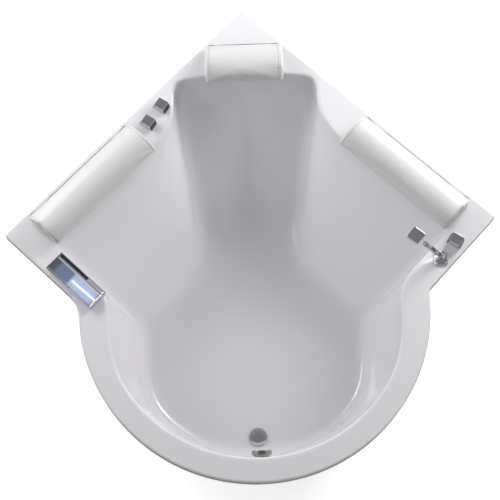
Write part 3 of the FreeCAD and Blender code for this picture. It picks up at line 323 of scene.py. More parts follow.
@dataclass(frozen=True)
class DrawnMetal(Finish):
    """Bare or zinc plated metal with grain along one axis."""

    grain: Point = (1.0, 1.0, 0.1)
    sockets: ClassVar[dict[str, float]] = {"Metallic": 1.0}

    def varying(self, graph: Graph) -> dict[str, Signal]:
        """Grain, and the cloudy patches of plating."""
        grain = graph.noise(900.0, 2.0, self.grain)
        clouds = graph.noise(35.0, 4.0)
        return {
            "Base Color": self.shades(graph, 0.10, 45.0),
            "Roughness": clouds * 0.22 + grain * 0.12 + (self.roughness - 0.15),
            "Normal": graph.bump(grain, 0.0002, 0.4),
        }


class ChipBoard(Finish):
    """Raw particle board: pressed chips of several browns."""

    def varying(self, graph: Graph) -> dict[str, Signal]:
        """Chips and their relief."""
        cells = graph.node("TexVoronoi", {"feature": "F1"}, {"Vector": graph.place(), "Scale": 260.0})
        value = graph.out(graph.node("RGBToBW", {}, {0: graph.out(cells, "Color")}))
        stops = [(0.1, self.tinted(-0.38)), (0.5, self.colour), (0.9, self.tinted(0.25))]
        return {"Base Color": graph.ramp(value, stops), "Normal": graph.bump(value, 0.0005, 0.6)}


class Finishes(Enum):
    """Every finish of the tub."""

    ACRYLIC = GlossAcrylic("gloss_acrylic", (0.72, 0.71, 0.735), 0.10)
    FIBRE = GlassFibre("glass_fibre_backing", (0.70, 0.66, 0.52), 0.5)
    CHROME = Chrome("polished_chrome", (0.66, 0.66, 0.69), 0.05)
    SMOKED = Chrome("smoked_chrome", (0.30, 0.30, 0.285), 0.08)
    MIRROR = Chrome("mirror_plate", (0.37, 0.43, 0.57), 0.02, 0.02)
    STEEL = PowderCoat("grey_powder_coat", (0.20, 0.21, 0.23), 0.45)
    ZINC = DrawnMetal("zinc_plate", (0.62, 0.64, 0.66), 0.38)
    BRASS = DrawnMetal("machined_brass", (0.78, 0.58, 0.28), 0.3)
    COPPER = DrawnMetal("drawn_copper", (0.80, 0.44, 0.28), 0.3, (1.0, 1.0, 0.2))
    BOARD = ChipBoard("particle_board", (0.50, 0.36, 0.20), 0.8)
    BLACK = Moulded("black_moulding", (0.028, 0.028, 0.032), 0.5)
    GREY = Moulded("grey_moulding", (0.36, 0.36, 0.345), 0.4)
    WHITE = Moulded("white_moulding", (0.76, 0.76, 0.74), 0.42)
    RUBBER = Moulded("black_rubber", (0.018, 0.018, 0.018), 0.75)
    VINYL = SoftVinyl("pillow_vinyl", (0.640, 0.631, 0.630), 0.36)
    # the dark cord along the pillows' backs: painted shade, the thin shadow line where each pillow meets the
    # deck
    WELT = SoftVinyl("pillow_welt", (0.20, 0.195, 0.20), 0.6)
    PIPING = SoftVinyl("pillow_piping", (0.60, 0.59, 0.57), 0.4)

    @property
    def material(self) -> bpy.types.Material:
        """The finish's material."""
        return self.value.material()


SLOT_FINISH = {
    "acrylic": Finishes.ACRYLIC, "acrylic_panel": Finishes.ACRYLIC, "board": Finishes.BOARD,
    "steel": Finishes.STEEL, "zinc": Finishes.ZINC, "steel_pin": Finishes.ZINC, "chrome": Finishes.CHROME,
    "mirror_chrome": Finishes.MIRROR, "brass": Finishes.BRASS, "copper": Finishes.COPPER,
    "rubber": Finishes.RUBBER, "black_plastic": Finishes.BLACK, "white_plastic": Finishes.WHITE,
    "cushion": Finishes.VINYL,
}
NODE_FINISH = {"overflow_knob": Finishes.SMOKED}


# ---- meshes -------------------------------------------------------------------------------------------
def linked(name: str, data: bpy.types.ID | None) -> Object:
    """A new object of some data, at the origin."""
    made = bpy.data.objects.new(name, data)
    bpy.context.scene.collection.objects.link(made)
    return made


def new_object(name: str, mesh: Mesh, finish: Finishes, smooth: bool = True) -> Object:
    """Links a mesh as an object at the origin, with one finish.

    Args:
        name: the piece's name.
        mesh: its mesh, in the row frame.
        finish: its first material.
        smooth: whether its faces are shaded smooth.

    Returns:
        The object.
    """
    mesh.materials.clear()
    mesh.materials.append(finish.material)
    mesh.polygons.foreach_set("use_smooth", [smooth] * len(mesh.polygons))
    return linked(name, mesh)


def mesh_from(name: str, points: Points, faces: Iterable[Sequence[int]] = (),
              edges: Sequence[tuple[int, int]] = ()) -> Mesh:
    """A mesh from points, with faces, edges or neither."""
    mesh = bpy.data.meshes.new(name)
    mesh.from_pydata([tuple(p) for p in np.asarray(points, float)], edges, [tuple(f) for f in faces])
    mesh.validate()
    return mesh


def read_points(mesh: Mesh) -> Points:
    """The points of a mesh as rows."""
    points = np.empty(len(mesh.vertices) * 3)
    mesh.vertices.foreach_get("co", points)
    return points.reshape(-1, 3)


@contextmanager
def edited(source: Mesh, result: Mesh) -> Iterator[bmesh.types.BMesh]:
    """Opens a mesh for editing and writes what comes out to another mesh, or to itself."""
    work = bmesh.new()
    work.from_mesh(source)
    yield work
    work.to_mesh(result)
    work.free()


def settled(carrier: Object) -> Mesh:
    """The mesh of an object with its modifiers worked out; the object itself goes."""
    bpy.context.view_layer.update()
    graph = bpy.context.evaluated_depsgraph_get()
    mesh = bpy.data.meshes.new_from_object(carrier.evaluated_get(graph), depsgraph=graph)
    bpy.data.objects.remove(carrier)
    return mesh


def modified(mesh: Mesh, *modifiers: tuple[str, dict[str, object]]) -> Mesh:
    """What modifiers make of a mesh.

    Args:
        mesh: the mesh that they start from.
        modifiers: the kind and the settings of each, in order.

    Returns:
        A new mesh.
    """
    carrier = linked(mesh.name + "_carrier", mesh)
    for kind, settings in modifiers:
        modifier = carrier.modifiers.new(kind.lower(), kind)
        for key, value in settings.items():
            setattr(modifier, key, value)
    return settled(carrier)


def gathered(name: str, solids: Sequence[Sequence[Points]]) -> Mesh:
    """A mesh of closed solids, each lofted through loops of one length and capped at both ends.

    Args:
        name: the mesh's name.
        solids: for each solid its loops, from one end to the other.

    Returns:
        The mesh.
    """
    points, faces = [], []
    for rings in solids:
        index = len(points) + np.arange(len(rings) * len(rings[0])).reshape(len(rings), -1)
        points.extend(point for ring in rings for point in ring)
        faces.extend([index[0, ::-1].tolist(), *quads(index), index[-1].tolist()])
    mesh = mesh_from(name, points, faces)
    with edited(mesh, mesh) as solid:
        bmesh.ops.recalc_face_normals(solid, faces=solid.faces)
    return mesh


def quads(index: np.ndarray) -> list[list[int]]:
    """The faces between closed rings of points, whose numbers stand in rows."""
    after = np.roll(index, -1, axis=1)
    return np.stack([index[:-1], after[:-1], after[1:], index[1:]], axis=-1).reshape(-1, 4).tolist()


def merged(node: str) -> Mesh:
    """A copy of a CAD node's mesh, its loose triangles joined."""
    mesh = bpy.data.meshes.new(node + "_merged")
    with edited(frame["nodes"][node].data, mesh) as solid:
        bmesh.ops.remove_doubles(solid, verts=solid.verts, dist=WELD)
    return mesh


def eased(name: str, mesh: Mesh, finish: Finishes, width: float) -> Object:
    """An object of a closed mesh with flat faces, whose sharp edges are rounded by a bevel of a width."""
    bevel = {"width": width, "segments": 2, "limit_method": "ANGLE", "angle_limit": SHARP_ANGLE}
    return new_object(name, modified(mesh, ("BEVEL", bevel)), finish, False)


def fix_piece(piece: Object, body: str, slot: str, *nodes: str) -> Object:
    """Hangs a piece on the body that it rides on, and hides the CAD nodes that it stands for."""
    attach(piece, body)
    if nodes:
        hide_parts(*nodes)
    LOG.info("piece %s on %s: %d faces", piece.name, body, len(piece.data.polygons))
    return piece


# ---- the tub ------------------------------------------------------------------------------------------
def soft_min(first: Points, second: Points, reach: float) -> Points:
    """The smaller of two distances, rounded where they differ by less than reach."""
    share = np.clip(reach - np.abs(first - second), 0.0, None) / reach
    return np.minimum(first, second) - share ** 3 * reach / 6.0


def soft_max(first: Points, second: Points, reach: float) -> Points:
    """The larger of two distances, rounded in the same way."""
    return -soft_min(-first, -second, reach)


def facing(inward: Points, deep: Points, top: Pair, foot: Pair) -> Points:
    """Distance over a slope through two points, each given by how far inward and how deep it is."""
    run, drop = foot[0] - top[0], foot[1] - top[1]
    return ((inward - top[0]) * drop - (deep - top[1]) * run) / math.hypot(run, drop)


def circle(angles: Points) -> Points:
    """Unit vectors in plan."""
    return np.stack([np.cos(angles), np.sin(angles)], axis=-1)


def smoothed(values: Points, window: int, mode: str) -> Points:
    """The running mean of a row of values."""
    return np.convolve(values, np.ones(window) / window, mode)


@dataclass
class TubShell:
    """The drawn acrylic sheet: a basin with two wings, a trough and a round bowl, its deck and its lip.

    The basin is a solid of smooth distances, positive in the open space. It is met by rays from one point
    above the floor, column by column, so that the mesh is one grid from the lip's foot to the floor's pole.
    """

    rim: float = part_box("tub_shell")[1].z
    corner_y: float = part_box("tub_shell")[1].y
    wall_side: float = 1.380
    bowl_radius: float = 0.680
    depth: float = 0.430
    sheet: float = 0.006
    lip: float = 0.050
    left_hollow: float = 0.150
    right_hollow: float = 0.030
    bowl_rim: float = 0.587
    floor_arc: float = 0.520
    floor_half: float = 0.470
    wing_edge: float = 0.170
    wing_shoulder: Pair = (0.185, 0.050)
    wing_foot: float = 0.576
    wing_end: Pair = (1.277, 1.230)
    trough_edge: float = 0.323
    trough_shoulder: Pair = (0.338, 0.100)
    trough_foot: float = 0.800
    trough_half: float = 0.292
    trough_draft: float = 0.012
    trough_mouth: Pair = (0.900, 0.215)
    trough_square: float = 0.383
    trough_end: float = 1.500
    # how far each rounding reaches
    end_blend: float = 0.075
    slope_blend: float = 0.060
    shoulder_blend: float = 0.035
    trough_edge_blend: float = 0.210
    trough_corner_blend: float = 0.085
    floor_blend: float = 0.110
    front_floor_blend: float = 0.080
    front_start: float = 1.200
    front_run: float = 0.250
    rim_blend: float = 0.017
    outer_round: float = 0.007
    outer_corner: float = 0.008
    # the outline's points
    corner_points: int = 9
    hollow_points: int = 24
    front_points: int = 181
    # the grid
    column_step: float = 0.012
    column_window: int = 17
    corner_columns: int = 9
    corner_spread: float = 0.9
    corner_clear: float = 0.002
    column_bend: float = 4.0
    row_step: float = 0.020
    row_bend: float = 9.0
    row_window: int = 9
    rows: int = 66
    deck_rows: Pair = (0.34, 0.67)
    rim_steps: int = 6
    support: float = 0.003
    lip_band: float = 0.002
    eye_reach: float = 1.150
    eye_rise: float = 0.25
    # how the basin is looked for
    search: Pair = (0.02, 1.25)
    halvings: int = 34
    directions_tried: int = 2880
    levels_tried: tuple[float, ...] = (0.0, 0.2, 0.38)
    dips_tried: int = 901
    dip_bias: float = 1.4
    ray_start: float = 0.20
    ray_steps: int = 90

    def __post_init__(self) -> None:
        """Works out what follows from the sizes."""
        self.bowl_reach = 2.0 * self.corner_y - self.bowl_radius
        self.eye = np.array([0.0, self.corner_y - self.eye_reach, self.rim + self.eye_rise])

    def wing(self, x: Points, reach: Points, deep: Points, side: int) -> Points:
        """Distance over one wing: its steep top part and its long slope."""
        inward = (reach - side * x) / ROOT2
        steep = facing(inward, deep, (self.wing_edge, 0.0), self.wing_shoulder)
        slope = facing(inward, deep, self.wing_shoulder, (self.wing_foot, self.depth))
        return soft_min(steep, slope, self.shoulder_blend)

    def ends(self, x: Points, reach: Points, deep: Points) -> Points:
        """Distance inside both wings' leaning end walls."""
        lean = (self.wing_end[0] - self.wing_end[1]) / self.depth
        limit = self.wing_end[0] - lean * deep
        return (limit - (reach + np.abs(x)) / ROOT2) / math.hypot(1.0, lean)

    def bowl(self, x: Points, reach: Points, deep: Points) -> Points:
        """Distance inside the round bowl, which runs straight back from its centre."""
        ahead = np.clip(reach - self.bowl_reach, 0.0, None)
        share = deep / self.depth
        gaps = []
        for foot, away in ((self.floor_arc, np.hypot(x, ahead)), (self.floor_half, np.abs(x))):
            draft = self.bowl_rim - foot
            gaps.append((self.bowl_rim - draft * share - away) / math.hypot(1.0, draft / self.depth))
        return soft_min(*gaps, self.floor_blend)

    def trough(self, x: Points, reach: Points, deep: Points) -> Points:
        """Distance inside the back trough: a steep top, a long slope and two steep sides."""
        steep = facing(reach, deep, (self.trough_edge, 0.0), self.trough_shoulder)
        slope = facing(reach, deep, self.trough_shoulder, (self.trough_foot, self.depth))
        taper = (self.trough_half - self.trough_mouth[1]) / (self.trough_mouth[0] - self.trough_square)
        half = self.trough_half - taper * np.clip(reach - self.trough_square, 0.0, None)
        half = np.maximum(half, self.trough_mouth[1]) - self.trough_draft * deep / self.depth
        side = (half - np.abs(x)) / math.hypot(1.0, taper)
        back = np.minimum(soft_min(steep, slope, self.trough_corner_blend), self.trough_end - reach)
        return soft_min(back, side, self.trough_corner_blend)

    def basin(self, points: Points) -> Points:
        """Distance inside the whole basin."""
        x, reach, deep = points[..., 0], self.corner_y - points[..., 1], self.rim - points[..., 2]
        body = soft_max(self.ends(x, reach, deep), self.bowl(x, reach, deep), self.end_blend)
        for side in (-1, 1):
            body = soft_min(body, self.wing(x, reach, deep, side), self.slope_blend)
        body = soft_max(body, self.trough(x, reach, deep), self.trough_edge_blend)
        front = np.clip((reach - self.front_start) / self.front_run, 0.0, 1.0)
        floor_blend = self.floor_blend + (self.front_floor_blend - self.floor_blend) * front
        return soft_min(body, self.depth - deep, floor_blend)

    def air(self, points: Points) -> Points:
        """Distance to the sheet from above: the basin and everything over the deck."""
        return soft_max(points[..., 2] - self.rim, self.basin(points), self.rim_blend)

    def level_curve(self, angles: Points, deep: float, value: float) -> Points:
        """Where the basin's distance has a value at one depth, outwards from the eye's axis.

        Args:
            angles: directions in plan.
            deep: depth under the rim.
            value: the distance that is looked for.

        Returns:
            The distance from the eye's axis for each direction.
        """
        low, high = (np.full(len(angles), away) for away in self.search)
        for _ in range(self.halvings):
            middle = (low + high) / 2.0
            spot = self.plan(angles, middle, self.rim - deep)
            inside = self.basin(spot) > value
            low = np.where(inside, middle, low)
            high = np.where(inside, high, middle)
        return (low + high) / 2.0

    def plan(self, angles: Points, away: Points, height: Points | float) -> Points:
        """Points at a distance from the eye's axis, in given directions."""
        spots = self.eye[:2] + np.asarray(away)[..., None] * circle(angles)
        return np.concatenate([spots, np.broadcast_to(height, spots.shape[:1])[:, None]], axis=-1)

    def hollow(self, side: int, inset: float, fillet: float) -> Points:
        """Arc of the hollow fillet between a wing's end and the bowl, from the wing to the bowl."""
        reach_along = self.bowl_reach / ROOT2
        centre_along = self.wall_side + fillet
        gap = centre_along - reach_along
        centre_inward = reach_along - math.sqrt((self.bowl_radius + fillet) ** 2 - gap ** 2)
        centre = self.wall_point(side, centre_along, centre_inward)
        wing = self.wall_point(side, self.wall_side - inset, centre_inward) - centre
        bowl = np.array([0.0, self.corner_y - self.bowl_reach]) - centre
        start, end = math.atan2(wing[1], wing[0]), math.atan2(bowl[1], bowl[0])
        turn = (end - start + math.pi) % (2.0 * math.pi) - math.pi
        return centre + (fillet + inset) * circle(start + turn * np.linspace(0.0, 1.0, self.hollow_points))

    def wall_point(self, side: int, along: float, inward: float) -> Points:
        """A point in plan, by its distance along a wall and square to it."""
        return np.array([side * (along - inward) / ROOT2, self.corner_y - (along + inward) / ROOT2])

    def outline(self, inset: float) -> Points:
        """The tub's outline in plan, drawn in by inset, round at its three outer corners."""
        turn = max(self.outer_corner - inset, 0.0005)

        def corner(point: Points, start: float) -> Points:
            """A quarter turn about a corner's own middle."""
            quarter = np.linspace(0.0, math.pi / 2.0, self.corner_points)
            return point + turn * circle(math.radians(start) + quarter)

        edge = inset + turn
        right, left = self.hollow(1, inset, self.right_hollow), self.hollow(-1, inset, self.left_hollow)
        middle = np.array([0.0, self.corner_y - self.bowl_reach])
        ends = [math.atan2(*(p - middle)[::-1]) for p in (right[-1], left[-1])]
        sweep = -((ends[0] - ends[1]) % (2.0 * math.pi))
        round_front = ends[0] + sweep * np.linspace(0.0, 1.0, self.front_points)[1:-1]
        bowl = middle + (self.bowl_radius - inset) * circle(round_front)
        return np.concatenate([
            corner(self.wall_point(1, edge, edge), 45.0),
            corner(self.wall_point(-1, self.wall_side - edge, edge), 135.0),
            left, bowl[::-1], right[::-1],
            corner(self.wall_point(1, self.wall_side - edge, edge), -45.0),
        ])

    def outer(self, angles: Points, inset: float) -> Points:
        """The outline's distance from the eye's axis in each direction."""
        loop = self.outline(inset) - self.eye[:2]
        turn = np.unwrap(np.arctan2(loop[:, 1], loop[:, 0]))
        order = np.argsort(turn % (2.0 * math.pi))
        turns, loop = (turn % (2.0 * math.pi))[order], loop[order]
        turns = np.concatenate([turns[-1:] - 2.0 * math.pi, turns, turns[:1] + 2.0 * math.pi])
        loop = np.concatenate([loop[-1:], loop, loop[:1]])
        seek = angles % (2.0 * math.pi)
        after = np.clip(np.searchsorted(turns, seek), 1, len(turns) - 1)
        first, second = loop[after - 1], loop[after]
        heading = circle(angles)
        run = second - first
        across = run[:, 0] * heading[:, 1] - run[:, 1] * heading[:, 0]
        return (run[:, 0] * -first[:, 1] + run[:, 1] * first[:, 0]) / -across

    def directions(self) -> Points:
        """The columns' directions: closer where the rim or a wall turns, and at the outer corners."""
        dense = np.linspace(0.0, 2.0 * math.pi, self.directions_tried + 1)
        weight = np.zeros(self.directions_tried)
        for deep in self.levels_tried:
            curve = self.plan(dense, self.level_curve(dense, deep, 0.0), 0.0)[:, :2]
            run = np.diff(curve, axis=0)
            length = np.hypot(run[:, 0], run[:, 1])
            heading = np.unwrap(np.arctan2(run[:, 1], run[:, 0]))
            bend = np.abs(np.diff(heading, append=heading[:1] + 2.0 * math.pi))
            reach = self.column_window // 2
            bend = smoothed(np.concatenate([bend[-reach:], bend, bend[:reach]]), self.column_window, "valid")
            weight += (length / self.column_step + bend * self.column_bend) / len(self.levels_tried)
        total = np.concatenate([[0.0], np.cumsum(weight)])
        count = int(total[-1])
        even = np.interp(np.arange(count) * total[-1] / count, total, dense)
        extra = []
        for side, along in ((1, 0.0), (1, self.wall_side), (-1, self.wall_side)):
            offset = self.wall_point(side, along, 0.0) - self.eye[:2]
            middle, distance = math.atan2(offset[1], offset[0]), math.hypot(*offset)
            spread = self.outer_corner * self.corner_spread / distance
            extra.append(middle + np.linspace(-1.0, 1.0, self.corner_columns) * spread)
        extra = np.concatenate(extra) % (2.0 * math.pi)
        keep = [angle for angle in even if np.min(np.abs(extra - angle)) > self.corner_clear]
        return np.sort(np.concatenate([keep, extra]))

    def columns(self, angles: Points) -> Points:
        """Rows of points from where the deck ends down to the floor's pole, one column per direction."""
        start = self.level_curve(angles, 0.0, -self.rim_blend)
        steepest = np.arctan2(self.eye_rise, start)
        share = np.linspace(0.0, 1.0, self.dips_tried) ** self.dip_bias
        dips = steepest[:, None] + (math.pi / 2.0 - steepest)[:, None] * share[None, :]
        level = np.cos(dips)[..., None] * circle(angles)[:, None, :]
        rays = np.concatenate([level, -np.sin(dips)[..., None]], axis=-1)
        along = np.full(dips.shape, self.ray_start)
        for _ in range(self.ray_steps):
            along = along + self.air(self.eye + rays * along[..., None])
        spots = self.eye + rays * along[..., None]
        rows = np.empty((len(angles), self.rows, 3))
        for index, column in enumerate(spots):
            away = np.hypot(column[:, 0] - self.eye[0], column[:, 1] - self.eye[1])
            run, climb = np.diff(away), np.diff(column[:, 2])
            length = np.hypot(run, climb)
            heading = np.arctan2(climb, -run)
            bend = np.abs(np.diff(heading, append=heading[-1]))
            bend = smoothed(bend, self.row_window, "same")
            total = np.concatenate([[0.0], np.cumsum(length / self.row_step + bend * self.row_bend)])
            wanted = np.linspace(0.0, total[-1], self.rows + 1)[:-1]
            for axis in range(3):
                rows[index, :, axis] = np.interp(wanted, total, column[:, axis])
        return rows

    def grid(self) -> Points:
        """All rings from the lip's foot over the deck and down to the floor, as rings x columns x 3."""
        angles = self.directions()
        inner = self.columns(angles)
        foot = self.rim - self.lip
        shoulder = self.rim - self.outer_round
        edge = [(0.0, foot), (0.0, foot + self.lip_band), (0.0, shoulder - self.lip_band)]
        for turn in np.linspace(0.0, math.pi / 2.0, self.rim_steps):
            inset = self.outer_round * (1.0 - math.cos(turn))
            edge.append((inset, shoulder + self.outer_round * math.sin(turn)))
        rings = [self.plan(angles, self.outer(angles, inset), height) for inset, height in edge]
        outer_flat = self.plan(angles, self.outer(angles, self.outer_round), self.rim)
        inner_flat = inner[:, 0].copy()
        inner_flat[:, 2] = self.rim
        gap = np.linalg.norm(inner_flat - outer_flat, axis=1)[:, None]
        for share in (self.support / gap, *self.deck_rows, 1.0 - self.support / gap):
            rings.append(outer_flat + (inner_flat - outer_flat) * share)
        rings.extend(inner[:, row] for row in range(self.rows))
        return np.array(rings)

    def build(self) -> Object:
        """Builds the closed sheet: the grid, the same grid under it, and the lip's foot between them."""
        grid = self.grid()
        rings, count = grid.shape[:2]
        pole = np.array([self.eye[0], self.eye[1], self.rim - self.depth])
        padded = np.concatenate([grid, np.broadcast_to(pole, (1, count, 3))])
        down = np.gradient(padded, axis=0)[:rings]
        across = np.roll(grid, -1, axis=1) - np.roll(grid, 1, axis=1)
        normal = np.cross(across, down)
        normal = normal / np.linalg.norm(normal, axis=-1, keepdims=True)
        if normal[-1, :, 2].mean() < 0.0:
            normal = -normal
        normal[0] = normal[1] = normal[2]
        under = grid - normal * self.sheet
        under[:, :, 2][0] = grid[0, :, 2]
        low_pole = pole - [0.0, 0.0, self.sheet]
        points = np.concatenate([grid.reshape(-1, 3), [pole], under.reshape(-1, 3), [low_pole]])
        offset = rings * count + 1
        faces = quads(np.arange(rings * count).reshape(rings, count))
        backs = [[index + offset for index in reversed(quad)] for quad in faces]
        last = (rings - 1) * count
        for column in range(count):
            following = (column + 1) % count
            faces.append((last + column, last + following, rings * count))
            backs.append((offset + rings * count, offset + last + following, offset + last + column))
            backs.append((offset + column, offset + following, following, column))
        mesh = mesh_from("tub", points, faces + backs)
        tub = new_object("tub", mesh, Finishes.ACRYLIC)
        mesh.materials.append(Finishes.FIBRE.material)
        mesh.polygons.foreach_set("material_index", [0] * len(faces) + [1] * len(backs))
        return fix_piece(tub, "tub", "acrylic", "tub_shell")


# ---- geometry nodes -----------------------------------------------------------------------------------
class Maker:
    """A Geometry Nodes tree with named inputs, run on a mesh and turned into a plain mesh."""

    def __init__(self, name: str, sizes: dict[str, float]) -> None:
        """Starts the tree.

        Args:
            name: the tree's name.
            sizes: its named inputs, with the values that they are given.
        """
        self.tree = bpy.data.node_groups.new(name, "GeometryNodeTree")
        self.sizes = sizes
        face = self.tree.interface
        face.new_socket("Geometry", in_out="INPUT", socket_type="NodeSocketGeometry")
        self.sockets = {key: face.new_socket(key, in_out="INPUT", socket_type="NodeSocketFloat")
                        for key in sizes}
        face.new_socket("Geometry", in_out="OUTPUT", socket_type="NodeSocketGeometry")
        self.start = self.tree.nodes.new("NodeGroupInput")

    def node(self, kind: str, settings: dict | None = None, inputs: dict | None = None) -> Node:
        """Adds a node.

        Args:
            kind: the node's type name, for a geometry node without its prefix.
            settings: properties, set first.
            inputs: values or the output sockets of other nodes, by the input's name.

        Returns:
            The new node.
        """
        made = self.tree.nodes.new(kind if kind.startswith("Shader") else "GeometryNode" + kind)
        for key, value in (settings or {}).items():
            setattr(made, key, value)
        for key, value in (inputs or {}).items():
            if isinstance(value, Socket):
                self.tree.links.new(value, made.inputs[key])
            else:
                made.inputs[key].default_value = value
        return made

    def size(self, name: str) -> Socket:
        """The socket of a named input."""
        return self.start.outputs[name]

    def line(self) -> Socket:
        """The guide's edges as curves."""
        return self.node("MeshToCurve", {}, {"Mesh": self.size("Geometry")}).outputs[0]

    def spots(self) -> Node:
        """Points along the guide's edges, one Pitch apart."""
        ends = {"Curve": self.line(), "Length": self.size("Pitch")}
        return self.node("CurveToPoints", {"mode": "LENGTH"}, ends)

    def put(self, shape: Node, points: Socket, **inputs: object) -> Socket:
        """Instances of a shape on points."""
        placed = {"Points": points, "Instance": shape.outputs[0], **inputs}
        return self.node("InstanceOnPoints", {}, placed).outputs[0]

    def run(self, name: str, guide: Mesh, result: Socket,
            finish: Finishes) -> Object:
        """Ends the tree, runs it on a guide mesh and makes a plain object of what comes out.

        Args:
            name: the new object's name.
            guide: the mesh that the tree starts from.
            result: the socket that holds its geometry.
            finish: the material that is set on it.

        Returns:
            The object.
        """
        real = self.node("RealizeInstances", {}, {"Geometry": result})
        dress = self.node("SetMaterial", {}, {"Geometry": real.outputs[0]})
        dress.inputs["Material"].default_value = finish.material
        end = self.tree.nodes.new("NodeGroupOutput")
        self.tree.links.new(dress.outputs[0], end.inputs[0])
        carrier = linked(name + "_guide", guide)
        modifier = carrier.modifiers.new("maker", "NODES")
        modifier.node_group = self.tree
        for key, value in self.sizes.items():
            modifier[self.sockets[key].identifier] = value
        return new_object(name, settled(carrier), finish)


# ---- fittings -----------------------------------------------------------------------------------------
@dataclass
class Filler:
    """The waterfall filler: housing, mirror plate with bright bevels, and in its mouth a black comb, which
    is painted shade for the deep slot, and a sill.
    """

    tub: TubShell
    along: Pair = (1.280, 1.366)
    inward: Pair = (0.228, 0.470)
    height: float = 0.026
    wall: float = 0.004
    channel: float = 0.012
    rib: float = 0.002
    end_margin: float = 0.008
    channel_floor: float = 0.006
    gap: float = 0.0005
    plate_depth: float = 0.0055
    plate_drop: float = 0.0036
    mouth_bevel: float = 0.0060
    # share of the mouth's length that the black comb covers: painted shade of the slot
    painted_shade_share: float = 0.62
    sill_height: float = 0.0250
    comb_pitch: float = 0.0026
    blade: tuple[float, float, float] = (0.0012, 0.0114, 0.0150)
    case_edge: float = 0.0011
    sill_edge: float = 0.0008

    def rectangle(self, along: Pair, inward: Pair, rise: float) -> Points:
        """Four corners of a rectangle beside the left wall, at a height over the rim."""
        spots = [(along[0], inward[0]), (along[1], inward[0]), (along[1], inward[1]), (along[0], inward[1])]
        return np.array([[*self.tub.wall_point(-1, *spot), self.tub.rim + rise] for spot in spots])

    def cover(self) -> Object:
        """The mirror plate, with a broad bevel all round its top."""
        start = self.along[0] + self.wall + self.channel + self.rib + self.gap
        end = self.along[1] - self.wall - self.gap
        margin = self.wall + self.gap
        rings, drop = [], self.plate_drop
        levels = ((0.0, 0.0, -self.plate_depth), (0.0, 0.0, -drop), (self.mouth_bevel, drop, 0.0))
        for near, inset, rise in levels:
            inward = (self.inward[0] + margin + inset, self.inward[1] - margin - inset)
            rings.append(self.rectangle((start + near, end - inset), inward, self.height + rise))
        plate = new_object("filler_mirror", gathered("filler_mirror", [rings]), Finishes.MIRROR, False)
        plate.data.materials.append(Finishes.CHROME.material)
        for face in plate.data.polygons:
            face.material_index = int(face.normal.z < 0.99)
        return plate

    def comb(self) -> Object:
        """Black blades that stand across the mouth: painted shade, where the deep slot is dark."""
        middle = self.along[0] + self.wall + self.channel / 2.0
        first = self.inward[0] + self.end_margin + self.blade[0]
        last = first + (self.inward[1] - self.inward[0] - 2.0 * self.end_margin) * self.painted_shade_share
        rise = self.tub.rim + self.channel_floor + self.blade[2] / 2.0
        line = [[*self.tub.wall_point(-1, middle, inward), rise] for inward in (first, last)]
        sizes = dict(zip(("Blade", "Width", "Height"), self.blade))
        maker = Maker("water_comb", {"Pitch": self.comb_pitch, **sizes})
        size = maker.node("ShaderNodeCombineXYZ", {}, {
            axis: maker.size(name) for axis, name in zip("XYZ", sizes)})
        blade = maker.node("MeshCube", {}, {"Size": size.outputs[0]})
        combed = maker.put(blade, maker.spots().outputs["Points"], Rotation=(0.0, 0.0, -math.pi / 4.0))
        return maker.run("filler_comb", mesh_from("comb_line", line, (), [(0, 1)]), combed, Finishes.BLACK)

    def sill(self) -> Object:
        """The grey sill that closes the rest of the mouth."""
        length = self.inward[1] - self.inward[0] - 2.0 * self.end_margin
        first = self.inward[0] + self.end_margin + length * self.painted_shade_share + 2.0 * self.comb_pitch
        start = self.along[0] + self.wall + self.gap
        along = (start, self.along[0] + self.wall + self.channel - self.gap)
        inward = (first, self.inward[1] - self.end_margin - self.gap)
        rings = [self.rectangle(along, inward, rise) for rise in (self.channel_floor, self.sill_height)]
        return eased("filler_sill", gathered("filler_sill", [rings]), Finishes.GREY, self.sill_edge)

    def build(self) -> None:
        """Makes the four pieces."""
        housing = eased("filler_case", merged("filler_housing"), Finishes.CHROME, self.case_edge)
        fix_piece(housing, "tub", "chrome", "filler_housing")
        fix_piece(self.cover(), "tub", "mirror_chrome", "filler_cover_plate")
        fix_piece(self.comb(), "tub", "black_plastic")
        fix_piece(self.sill(), "tub", "white_plastic")


@dataclass
class KnobShadeGrips:
    """Black pads on two sides of one square knob, proud of it and broader at their feet: painted shade for
    the knob's dark side and its shadow on the deck.
    """

    body: str
    node: str
    # turn puts one black pad on the knob's shaded side and one opposite; levels give heights and how far the
    # black stands out, broadest at the foot, where it paints the knob's shadow on the deck
    turn: float = math.radians(-34.0)
    length: float = 0.046
    width: float = 0.039
    levels: tuple[Pair, ...] = ((0.0010, 0.0060), (0.0270, 0.0012))
    sunk: float = 0.0010
    edge: float = 0.0012

    def build(self) -> None:
        """Makes both black pads, the painted shade, as one piece."""
        low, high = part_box(self.node)
        centre = np.array([(low.x + high.x) / 2.0, (low.y + high.y) / 2.0, low.z])
        shade_grips = []
        for turn in (self.turn, self.turn + math.pi):
            out, side = (np.array([*circle(heading), 0.0]) for heading in (turn, turn + math.pi / 2.0))
            inner, half = self.length / 2.0 - self.sunk, self.width / 2.0
            rings = []
            for rise, proud in self.levels:
                outer = self.length / 2.0 + proud
                spots = [(inner, -half), (outer, -half), (outer, half), (inner, half)]
                rings.append([centre + out * a + side * b + np.array([0.0, 0.0, rise]) for a, b in spots])
            shade_grips.append(rings)
        name = self.node + "_grips"
        piece = eased(name, gathered(name, shade_grips), Finishes.BLACK, self.edge)
        fix_piece(piece, self.body, "black_plastic")


